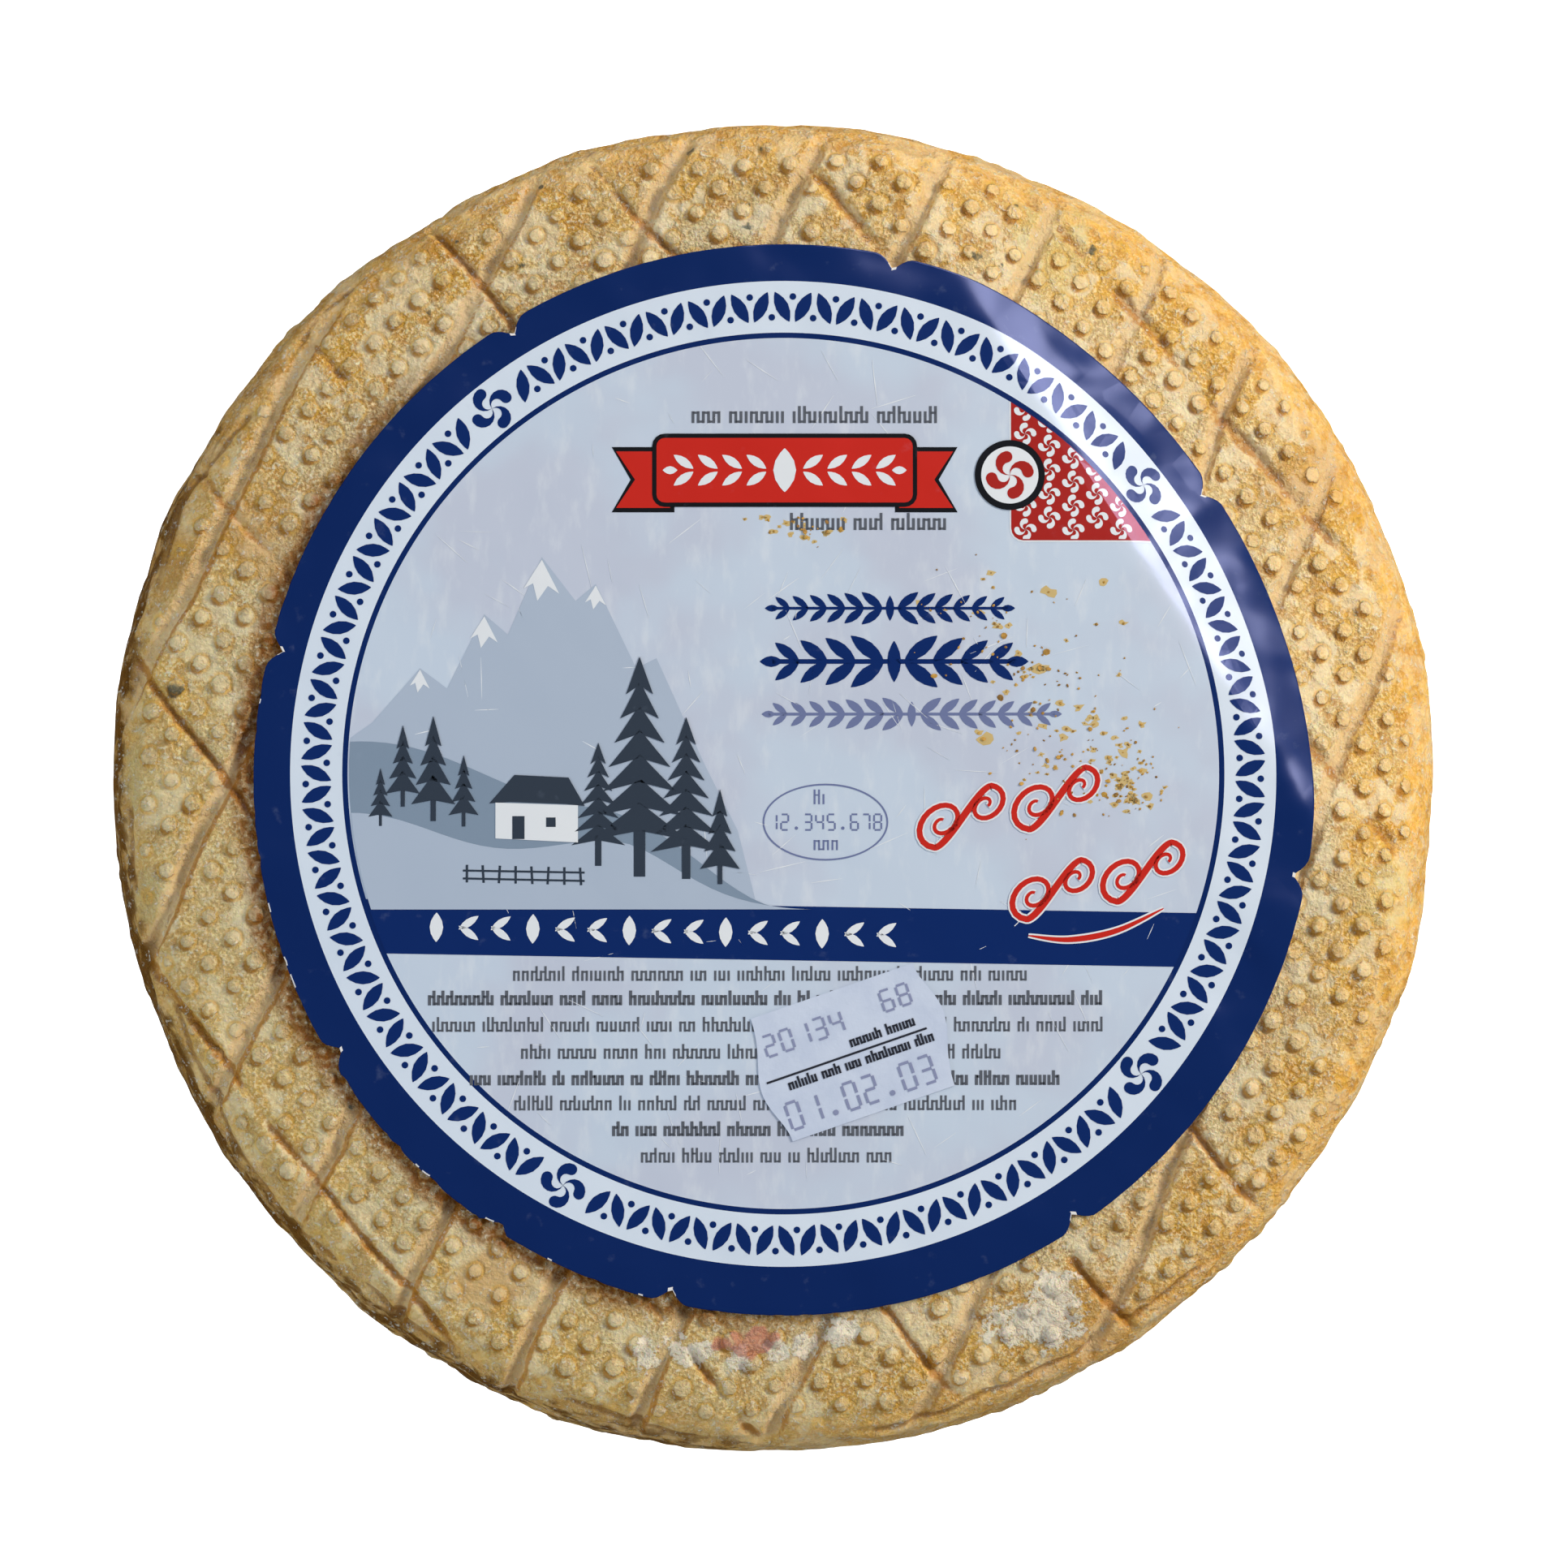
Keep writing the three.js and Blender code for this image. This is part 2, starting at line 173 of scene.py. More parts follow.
def rim_grain(direction: Array, over: Array, along: float, across: float, seed: float = 0.0) -> Array:
    """Noise whose bumps are drawn out round the rim.

    Args:
        direction: The points' directions in radians.
        over: Their distances past the flat face.
        along: Length of a bump along the rim.
        across: Width of a bump across it.
        seed: Moves the pattern.

    Returns:
        One value a point, about -1 to 1.
    """
    reach = 100.0 / along
    return grain(reach * np.cos(direction), reach * np.sin(direction), over / across, 1.0, seed)


def add_node(
    tree: bpy.types.NodeTree,
    kind: str,
    settings: dict[str, object] | None = None,
    inputs: dict[int | str, object] | None = None,
    output: int | str = 0,
) -> Socket:
    """Adds a node with its settings and links.

    Args:
        tree: The node tree to add to.
        kind: The node's type.
        settings: Attributes of the node.
        inputs: Sockets or plain values for its inputs.
        output: Which output to hand back.

    Returns:
        The output socket.
    """
    node = tree.nodes.new(kind)
    for name, value in (settings or {}).items():
        setattr(node, name, value)
    for key, value in (inputs or {}).items():
        if isinstance(value, Socket):
            tree.links.new(value, node.inputs[key])
        else:
            node.inputs[key].default_value = value
    return node.outputs[output]


def points_of(bm: bmesh.types.BMesh) -> Array:
    """The mesh's points as rows of X, Y and Z."""
    return np.array([vert.co for vert in bm.verts])


def place_points(bm: bmesh.types.BMesh, places: Array) -> None:
    """Moves the mesh's points to new places."""
    for vert, place in zip(bm.verts, places):
        vert.co = place


def move(bm: bmesh.types.BMesh, parts: Iterable[object], height: float) -> None:
    """Moves the points among some parts of a mesh up."""
    bmesh.ops.translate(bm, vec=(0, 0, height), verts=[p for p in parts if isinstance(p, bmesh.types.BMVert)])


def to_object(bm: bmesh.types.BMesh, name: str, materials: Sequence[bpy.types.Material]) -> bpy.types.Object:
    """Makes a finished object from a mesh in millimetres, at the origin.

    Args:
        bm: The mesh, which is freed.
        name: The object's name.
        materials: Its material slots, in order.

    Returns:
        The object, in the scene.
    """
    bmesh.ops.scale(bm, vec=Vector((MM, MM, MM)), verts=bm.verts)
    mesh = bpy.data.meshes.new(name)
    bm.to_mesh(mesh)
    bm.free()
    for material in materials:
        mesh.materials.append(material)
    made = bpy.data.objects.new(name, mesh)
    bpy.context.scene.collection.objects.link(made)
    return made


def deliver(made: bpy.types.Object, slot: str, *replaced: str) -> None:
    """Rides a finished piece on the body and hides the nodes it stands for."""
    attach(made, BODY)
    if replaced:
        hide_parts(*replaced)
    LOG.info("%s: %d faces", made.name, len(made.data.polygons))


def turn_bands(bands: Sequence[tuple[int, Sequence[Point]]]) -> bmesh.types.BMesh:
    """Turns a section round the axis, in bands of different fineness that are bridged together.

    Args:
        bands: How many steps to a turn, and the radius and height of each point, band by band.

    Returns:
        The turned mesh, in millimetres.
    """
    bm = bmesh.new()
    for turns, section in bands:
        last = len(section) - 1
        wall = bmesh.ops.create_grid(bm, x_segments=turns, y_segments=last, size=0.5)
        for vert in wall["verts"]:
            angle = FULL_TURN * (vert.co.x + 0.5)
            radius, height = section[round((vert.co.y + 0.5) * last)]
            vert.co = (radius * math.cos(angle), radius * math.sin(angle), height)
    bmesh.ops.remove_doubles(bm, verts=bm.verts, dist=0.001)
    rims = [e for e in bm.edges if e.is_boundary]
    for (_, before), (_, after) in zip(bands, bands[1:]):
        pair = []
        for radius, height in (before[-1], after[0]):
            for edge in rims:
                co = edge.verts[0].co
                if abs(math.hypot(co.x, co.y) - radius) + abs(co.z - height) < 0.01:
                    pair.append(edge)
        bmesh.ops.bridge_loops(bm, edges=pair)
    bmesh.ops.recalc_face_normals(bm, faces=bm.faces)
    return bm


class LaggedDraw:
    """Repeatable random numbers from 0 to 1, the same row that the frame's pimples were placed with."""

    def __init__(self, seed: int) -> None:
        """Starts the row."""
        self.state = seed

    def __call__(self) -> float:
        """Draws the next number."""
        self.state = (self.state * 1664525 + 1013904223) % 4294967296
        return self.state / 4294967296


# --- The form of the wheel ---


@dataclass(frozen=True)
class WheelForm:
    """The outer form of the wheel, the same as its solid in the frame has."""

    radius: float = 100.0
    height: float = 80.0
    shoulder: float = 10.0
    side_bulge: float = 0.3
    # Waves round the rim, height and direction of a crest
    rim_lobes: tuple[tuple[int, float, float], ...] = (
        (1, 0.5, 140.0),
        (2, 0.25, 64.5),
        (3, 0.33, 27.4),
        (4, 0.18, -21.6),
    )
    slump_direction: float = 33.0
    slump_start: float = 61.0
    slump_steep: float = 25.0
    slump_steep_width: float = 7.0
    slump_ease: float = 78.0
    slump_ease_width: float = 6.0
    slump_gentle: float = 14.0
    slump_fade_height: float = 25.0
    slump_bulge: float = 1.6
    slump_bulge_width: float = 45.0
    # Outside the label the top falls away a little towards the shoulder
    droop_start: float = 77.0
    droop_angle: float = 4.5

    @property
    def flat_radius(self) -> float:
        """Radius where the flat face ends and the shoulder begins."""
        return self.radius - self.side_bulge - self.shoulder

    @property
    def slump(self) -> Point:
        """Unit vector of the direction in which the top has slumped."""
        return heading(self.slump_direction)

    @staticmethod
    def soft_ramp(distance: Array, start: float, width: float) -> Array:
        """Zero up to start, then a line of slope 1, with a soft corner of the given width."""
        t = np.clip((distance - start) / width, 0.0, 1.0)
        past = np.maximum(distance - start - width, 0.0)
        return width * (t**3 - t**4 / 2) + past

    def slump_along(self, distance: Array) -> Array:
        """How far the top lies below its level at a distance along the slump's direction."""
        steep = math.tan(math.radians(self.slump_steep))
        eased = steep - math.tan(math.radians(self.slump_gentle))
        first = self.soft_ramp(distance, self.slump_start, self.slump_steep_width)
        second = self.soft_ramp(distance, self.slump_ease, self.slump_ease_width)
        return steep * first - eased * second

    def slump_at(self, x: Array, y: Array) -> Array:
        """How far the top lies below its level above a point of the base."""
        return self.slump_along(x * self.slump[0] + y * self.slump[1])

    def rim_offset(self, direction: Array) -> Array:
        """How far the rim stands outside the true circle, in a direction in radians."""
        offset = np.zeros_like(direction)
        for waves, height, crest in self.rim_lobes:
            offset = offset + height * np.cos(waves * (direction - math.radians(crest)))
        edge = math.cos(math.radians(self.slump_bulge_width))
        return offset + self.slump_bulge * facing(direction, self.slump_direction, edge, 1.0)

    def droop(self, radius: Array) -> Array:
        """How far the bare ring of the top has fallen below the middle."""
        width = self.flat_radius - self.droop_start
        growth = math.tan(math.radians(self.droop_angle)) / (2 * width)
        return growth * np.clip(radius - self.droop_start, 0.0, width) ** 2

    def settle(self, co: Array) -> Array:
        """Moves points of the round, level form to where the out-of-round, slumped form has them.

        Args:
            co: Rows of X, Y and Z.

        Returns:
            The moved rows.
        """
        radius = np.hypot(co[:, 0], co[:, 1])
        direction = np.arctan2(co[:, 1], co[:, 0])
        reach = radius + self.rim_offset(direction) * (radius / self.radius) ** 3
        x, y = reach * np.cos(direction), reach * np.sin(direction)
        sinking = smooth(co[:, 2], self.slump_fade_height, self.height)
        return np.stack([x, y, co[:, 2] - self.slump_at(x, y) * sinking], axis=1)


@dataclass(frozen=True)
class PaperLie:
    """How paper lies on the top: it bends over the slump and does not stretch."""

    form: WheelForm
    face: float  # height of the label's printed face on the level part of the top
    wave: float = 0.05  # half the height of the paper's own soft waves
    wave_length: float = 75.0
    ripple: float = 0.13  # half the height of the ripples where it bends down
    ripple_length: float = 24.0

    def place(self, co: Array, lift: Array | float) -> Array:
        """Lays points of the flat label on the wheel.

        Args:
            co: Rows of flat X and Y.
            lift: How far each point stands above the label's printed face.

        Returns:
            Rows of X, Y and Z.
        """
        levels = np.arange(self.form.slump_start, self.form.radius, 0.05)
        falls = self.form.slump_along(levels)
        steps = np.hypot(np.diff(levels), np.diff(falls))
        lengths = levels[0] + np.concatenate([[0.0], np.cumsum(steps)])
        along = self.form.slump
        flat = co[:, 0] * along[0] + co[:, 1] * along[1]
        level = np.where(flat > levels[0], np.interp(flat, lengths, levels), flat)
        x = co[:, 0] - (flat - level) * along[0]
        y = co[:, 1] - (flat - level) * along[1]
        turn = FULL_TURN / self.wave_length
        waves = self.wave * (1 + np.sin(turn * x + 1.3) * np.cos(turn * y * 0.83))
        turn = FULL_TURN / self.ripple_length
        side = y * along[0] - x * along[1]
        ripples = self.ripple * smooth(flat, 50.0, 66.0) * (1 + np.sin(turn * side + 0.9 + flat / 14.0))
        z = self.face - self.form.slump_at(x, y) - waves - ripples + lift
        return np.stack([x, y, z], axis=1)


# --- Finishes ---


class Recipe:
    """A node material being written: its tree, its shader and the place its patterns follow."""

    def __init__(self, name: str) -> None:
        """Starts a material with a plain shader."""
        self.material = bpy.data.materials.new(name)
        self.material.use_nodes = True
        self.tree = self.material.node_tree
        self.shader = self.tree.nodes["Principled BSDF"]
        self.place = add_node(self.tree, "ShaderNodeTexCoord", output="Object")

    def speckle(
        self,
        size: float,
        low: float,
        high: float,
        detail: float = 2.0,
        stretch: tuple[float, float, float] = (1.0, 1.0, 1.0),
        seed: float = 0.0,
    ) -> Socket:
        """Soft spots of a real size, with the noise between low and high drawn out to 0 and 1.

        Args:
            size: Width of a spot in millimetres.
            low: Noise value that becomes 0.
            high: Noise value that becomes 1.
            detail: How many finer layers the spots have.
            stretch: How much denser the pattern is along each axis.
            seed: Moves the pattern.

        Returns:
            A share from 0 to 1.
        """
        moved = {"Vector": self.place, "Location": (seed, -seed, seed), "Scale": stretch}
        scaled = add_node(self.tree, "ShaderNodeMapping", {}, moved)
        layers = {"Vector": scaled, "Scale": 1 / (size * MM), "Detail": detail, "Roughness": 0.55}
        return self.span(add_node(self.tree, "ShaderNodeTexNoise", {}, layers), low, high)

    def over(self, under: Socket | str, colour: Socket | str, share: Socket | float) -> Socket:
        """Lays a colour over another by a share; either may be a pattern or a hex colour."""
        under, colour = (linear(c) if isinstance(c, str) else c for c in (under, colour))
        mixed = {0: share, 6: under, 7: colour}
        return add_node(self.tree, "ShaderNodeMix", {"data_type": "RGBA"}, mixed, 2)

    def sum_of(self, parts: Iterable[tuple[Socket, float]]) -> Socket:
        """Adds sockets, each times its own weight."""
        total: Socket | float = 0.0
        for part, weight in parts:
            terms = {0: part, 1: weight, 2: total}
            total = add_node(self.tree, "ShaderNodeMath", {"operation": "MULTIPLY_ADD"}, terms)
        return total

    def times(self, first: Socket, second: Socket | float) -> Socket:
        """Multiplies two shares."""
        return add_node(self.tree, "ShaderNodeMath", {"operation": "MULTIPLY"}, {0: first, 1: second})

    def span(self, value: Socket, low: float, high: float, start: float = 0.0, end: float = 1.0) -> Socket:
        """Draws the part of a value between low and high out smoothly, from start to end."""
        ends = {"Value": value, "From Min": low, "From Max": high, "To Min": start, "To Max": end}
        return add_node(self.tree, "ShaderNodeMapRange", {"interpolation_type": "SMOOTHSTEP"}, ends)

    def fade(self, value: Socket, start: float, end: float) -> Socket:
        """Goes from start to end as a value goes from 0 to 1."""
        return self.span(value, 0.0, 1.0, start, end)

    def mark(self, name: str) -> Socket:
        """Reads a mark that the mesh carries at its points."""
        return add_node(self.tree, "ShaderNodeAttribute", {"attribute_name": name}, {}, "Fac")

    def frayed(
        self, name: str, edge: Sequence[tuple[Socket, float]], low: float, high: float, weight: float = 1.0
    ) -> Socket:
        """Reads a mark and frays its edge.

        Args:
            name: The mark.
            edge: Patterns that fray it, each with its weight.
            low: Sum of the mark and the patterns that becomes 0.
            high: Sum that becomes 1.
            weight: The mark's own weight.

        Returns:
            A share from 0 to 1.
        """
        return self.span(self.sum_of((*edge, (self.mark(name), weight))), low, high)

    def relief(self, height: Socket, depth: float = 1.0) -> None:
        """Gives the surface a fine relief.

        Args:
            height: The pattern's height.
            depth: How many millimetres a height of 1 stands for.
        """
        bump = add_node(self.tree, "ShaderNodeBump", {}, {"Height": height, "Distance": depth * MM})
        self.tree.links.new(bump, self.shader.inputs["Normal"])

    def dress(self, **sockets: object) -> bpy.types.Material:
        """Feeds the shader's sockets, named with _ for a space, with patterns, plain values or hex colours.

        Returns:
            The finished material.
        """
        for name, value in sockets.items():
            target = self.shader.inputs[name.replace("_", " ")]
            if isinstance(value, Socket):
                self.tree.links.new(value, target)
            else:
                target.default_value = linear(value) if isinstance(value, str) else value
        return self.material


@dataclass(frozen=True)
class RindFinish:
    """Pressed, salted rind of semi-hard cheese: dry and mealy on the faces, waxy on the shoulder."""

    pale: str = "#f7e5bb"
    yellow: str = "#e8b84e"
    amber: str = "#c8891c"
    umber: str = "#b3761a"
    salt: str = "#fff0c2"
    plate: str = "#e4dab8"
    grey: str = "#dbc999"
    top: str = "#d6c69c"
    rim: str = "#e2b040"
    bed: str = "#dcbf8e"
    brown: str = "#8a5614"
    dark: str = "#6a430a"
    wax: str = "#efbe62"
    orange: str = "#d69026"
    mould: str = "#efe9d6"
    pink: str = "#cf7f6c"
    blue: str = "#3e4a40"
    wan: str = "#d6cc94"
    ripe: str = "#c8923c"
    painted_lit_top: str = "#ebcf97"
    blotch_size: float = 12.0
    meal_size: float = 1.3
    grain_size: float = 0.5
    hollow_size: float = 3.0
    plate_size: float = 6.5
    streak_size: float = 4.5
    scab_size: float = 3.4

    def build(self) -> bpy.types.Material:
        """Writes the material and gives it back."""
        r = Recipe("cheese_rind_pressed_and_salted")
        blotch = r.speckle(self.blotch_size, 0.4, 0.62)
        outer = r.mark("outer")
        fatty = r.sum_of(((blotch, 0.55), (outer, 0.6)))
        meal = r.speckle(self.meal_size, 0.38, 0.62, detail=4, seed=3.1)
        fine = r.speckle(self.grain_size, 0.36, 0.64, detail=3, seed=1.7)
        hollow = r.speckle(self.hollow_size, 0.48, 0.64, detail=5, seed=5.2)
        plate = r.speckle(self.plate_size, 0.51, 0.58, detail=4, seed=9.9)
        shoulder, painted_lit_side = r.mark("shoulder"), r.mark("painted_lit_side")
        # Dry curd is pale and greyish where it has lost its fat, and yellow where the fat has come up
        colour = r.over(self.grey, self.yellow, fatty)
        colour = r.over(colour, self.pale, r.times(meal, r.fade(outer, 0.55, 0.32)))
        # Waxy shoulder with orange streaks that run round the rim
        streak = r.speckle(self.streak_size, 0.42, 0.66, detail=5, stretch=(0.8, 0.8, 3.0), seed=7.7)
        wax = r.over(self.wax, self.orange, r.times(streak, 0.6))
        wax = r.over(wax, self.pale, r.times(meal, 0.3))
        colour = r.over(colour, wax, r.times(shoulder, 0.75))
        # Fat gathers amber in the hollows; the brown between the grains is painted shade, weaker on the
        # shoulder and on the side that faces the light; salt shines on top of them
        colour = r.over(colour, self.amber, r.times(hollow, 0.55))
        dry = r.times(r.fade(shoulder, 1.0, 0.45), r.fade(painted_lit_side, 1.0, 0.7))
        colour = r.over(colour, self.brown, r.times(r.times(r.span(fine, 0.42, 0.0), dry), 0.42))
        colour = r.over(colour, self.salt, r.times(r.times(r.span(fine, 0.6, 0.95), dry), 0.6))
        # Smooth plates where the cloth lay flat on the curd, and places that are paler or riper than the rest
        colour = r.over(colour, self.plate, r.times(plate, r.fade(shoulder, 0.6, 0.3)))
        colour = r.over(colour, self.wan, r.times(r.mark("wan"), 0.5))
        colour = r.over(colour, self.ripe, r.times(r.mark("ripe"), 0.48))
        # Each pimple has a dry grey top, a yellow ring and a painted amber shadow on the lower-left side of
        # its foot, away from the light
        pimple = r.sum_of(((fine, 0.06), (r.mark("pimple"), 1.0)))
        top = r.span(pimple, 0.48, 0.58)
        ring = r.times(r.span(pimple, 0.2, 0.4), r.span(pimple, 0.54, 0.46))
        foot = r.times(r.span(r.mark("foot"), 0.45, 0.8), r.span(pimple, 0.6, 0.48))
        colour = r.over(colour, self.rim, r.times(ring, 0.5))
        colour = r.over(colour, self.umber, r.times(foot, 0.75))
        # Painted light: the tops are lighter and warmer on the side that faces the light
        cap = r.over(self.top, self.painted_lit_top, painted_lit_side)
        colour = r.over(colour, cap, r.times(top, r.fade(blotch, 0.62, 0.35)))
        # Grooves: a pale smooth bed and a wall painted brown for the shade on the side away from the light,
        # and narrower cracks across them painted brown for the shade in them
        fray = r.sum_of(((meal, 0.22), (fine, 0.1)))
        bed = r.frayed("bed", [(fray, 1.0)], 0.45, 0.68)
        wall = r.frayed("wall", [(fray, 1.0)], 0.5, 0.85)
        crack = r.frayed("crack", [(fray, 1.2)], 0.62, 0.95)
        colour = r.over(colour, self.bed, r.times(bed, 0.72))
        colour = r.over(colour, self.umber, r.times(wall, 0.75))
        colour = r.over(colour, self.umber, r.times(crack, 0.8))
        seam = r.frayed("seam", [(fray, 1.0)], 0.6, 0.95)
        colour = r.over(colour, self.brown, r.times(seam, 0.6))
        # Painted shadow of the label's edge on the rind beside it
        colour = r.over(colour, self.brown, r.times(r.mark("stain_and_painted_shadow"), r.fade(meal, 1.0, 0.6)))
        # Dark crust on the side and the shoulder, with painted shade in its band on the side away from the
        # light, then mould, pink smear and dots
        scab = r.speckle(self.scab_size, 0.36, 0.58, 5, stretch=(0.7, 0.7, 2.0), seed=2.2)
        crust_and_painted_shade = r.frayed("crust_and_painted_shade", [(scab, 0.6)], 0.6, 1.25, 0.9)
        colour = r.over(colour, self.umber, r.times(r.mark("crust_and_painted_shade"), 0.5))
        colour = r.over(colour, self.dark, r.times(crust_and_painted_shade, 0.94))
        mould = r.frayed("mould", [(meal, 0.7), (fine, 0.4)], 0.85, 1.25)
        colour = r.over(colour, self.mould, r.times(mould, 0.85))
        pink = r.frayed("pink", [(fray, 0.8)], 0.4, 1.0)
        colour = r.over(colour, self.pink, r.times(pink, 0.7))
        spot = r.frayed("spot", [(meal, 0.5), (fine, 0.3)], 0.7, 1.5)
        colour = r.over(colour, self.blue, r.times(spot, 0.8))
        # Heights in millimetres; the plates and beds are smooth
        even = ((plate, 0.7), (bed, 0.45), (top, 0.15), (shoulder, 0.35), (painted_lit_side, 0.4))
        bare = r.fade(r.sum_of(even), 1.0, 0.25)
        heights = [(r.times(meal, bare), 0.29), (r.times(fine, bare), 0.2), (hollow, -0.2), (plate, 0.06)]
        heights += [(top, 0.2), (ring, -0.08), (crack, -0.14), (wall, -0.06), (seam, -0.12), (mould, 0.16)]
        r.relief(r.sum_of(heights))
        r.shader.inputs["Subsurface Radius"].default_value = (1.0, 0.5, 0.16)
        return r.dress(
            Base_Color=colour,
            Roughness=r.fade(shoulder, 0.46, 0.38),
            Specular_IOR_Level=r.fade(crust_and_painted_shade, 0.32, 0.14),
            IOR=1.45,
            Subsurface_Weight=0.3,
            Subsurface_Scale=1.2 * MM,
        )


class Press(Enum):
    """How a place on the label was printed."""

    SOLID = "solid"  # one even film of ink
    CLOUDED = "clouded"  # a tint with soft clouds and fine scuffs, as on aged paper
    BARE = "bare"  # torn or cut paper with no print on it


@dataclass(frozen=True)
class CoatedPaper:
    """Coated label paper, printed and varnished: smooth, glossy and dimpled by the rind beneath."""

    name: str
    colour: str
    press: Press = Press.SOLID
    second: str = "#c0c5da"
    vein: str = "#e3ebf4"
    wear: str = "#9fb0cc"
    roughness: float = 0.2
    swell: float = 0.14  # height of its soft waves in millimetres
    dimple_pitch: float = 4.83  # the rind's pimples show through faintly

    def build(self) -> bpy.types.Material:
        """Writes the material and gives it back."""
        r = Recipe(self.name)
        colour: Socket | str = self.colour
        if self.press is Press.CLOUDED:
            clouds = r.speckle(24.0, 0.4, 0.62, detail=3, seed=2.3)
            veins = r.speckle(2.2, 0.5, 0.75, detail=5, stretch=(1.0, 0.35, 1.0), seed=4.4)
            colour = r.over(colour, self.second, r.times(clouds, 0.55))
            colour = r.over(colour, self.vein, r.times(veins, 0.35))
        elif self.press is Press.SOLID:
            worn = r.speckle(3.0, 0.62, 0.8, detail=4, seed=8.1)
            colour = r.over(colour, self.wear, r.times(worn, 0.08))
        if self.press is not Press.BARE:
            turned = {"Vector": r.place, "Rotation": (0, 0, math.radians(45)), "Scale": (1, 1, 0)}
            rows = add_node(r.tree, "ShaderNodeMapping", {}, turned)
            cells = {"Vector": rows, "Scale": 1 / (self.dimple_pitch * MM), "Randomness": 0.35}
            dimples = add_node(r.tree, "ShaderNodeTexVoronoi", {"feature": "F1"}, cells)
            waves = r.speckle(15.0, 0.3, 0.7, 1, seed=6.6)
            pressed = r.times(dimples, r.speckle(34.0, 0.42, 0.62, 2, seed=12.1))
            height = r.sum_of(((pressed, -0.06 / self.swell), (waves, 1.0)))
            r.relief(height, self.swell)
        rough = 0.75 if self.press is Press.BARE else self.roughness
        return r.dress(Base_Color=colour, Roughness=rough, IOR=1.5)


@dataclass(frozen=True)
class StickerPaper:
    """Thin thermal paper with a matt face, a little uneven in tone."""

    name: str = "thermal_sticker_paper"
    colour: str = "#cbd8ee"
    second: str = "#bccae4"

    def build(self) -> bpy.types.Material:
        """Writes the material and gives it back."""
        r = Recipe(self.name)
        tone = r.speckle(5.0, 0.35, 0.7, detail=4)
        colour = r.over(self.colour, self.second, r.times(tone, 0.6))
        r.relief(r.speckle(1.4, 0.3, 0.7, 3), 0.02)
        return r.dress(Base_Color=colour, Roughness=0.42, IOR=1.5)


@dataclass(frozen=True)
class CrumbFinish:
    """Dry flakes of rind rubbed off on to the paper."""

    colour: str = "#c79a3f"
    second: str = "#8f6a2e"

    def build(self) -> bpy.types.Material:
        """Writes the material and gives it back."""
        r = Recipe("dry_rind_crumbs")
        colour = r.over(self.colour, self.second, r.speckle(2.0, 0.35, 0.65))
        r.relief(r.speckle(0.3, 0.3, 0.7, 2), 0.05)
        return r.dress(Base_Color=colour, Roughness=0.7, IOR=1.45)


# --- The rind ---


@dataclass(frozen=True)
class Groove:
    """One straight groove, pressed by a rib of the mould's liner."""

    angle: float
    offset: float
    half_width: float
    bed: float  # share of the half width that is flat bed
    depth: float
    mark: str
    unevenness: float
    reach: float = 3.2  # how far from its middle line it can touch the rind, in half widths

    def side_of(self, x: Array, y: Array) -> Array:
        """Signed distance of points from the groove's middle line, with a slight wander."""
        turn = math.radians(self.angle)
        across = x * math.sin(turn) - y * math.cos(turn)
        along = x * math.cos(turn) + y * math.sin(turn)
        wander = 0.35 * np.sin(along / 9.0 + self.offset) + 0.2 * np.sin(along / 3.7 + 2 * self.offset)
        return across - self.offset - wander


@dataclass(frozen=True)
class Patch:
    """An uneven spot on the rind: the mark it leaves, its middle and half its width and height."""

    mark: str
    x: float
    y: float
    half_width: float
    half_height: float


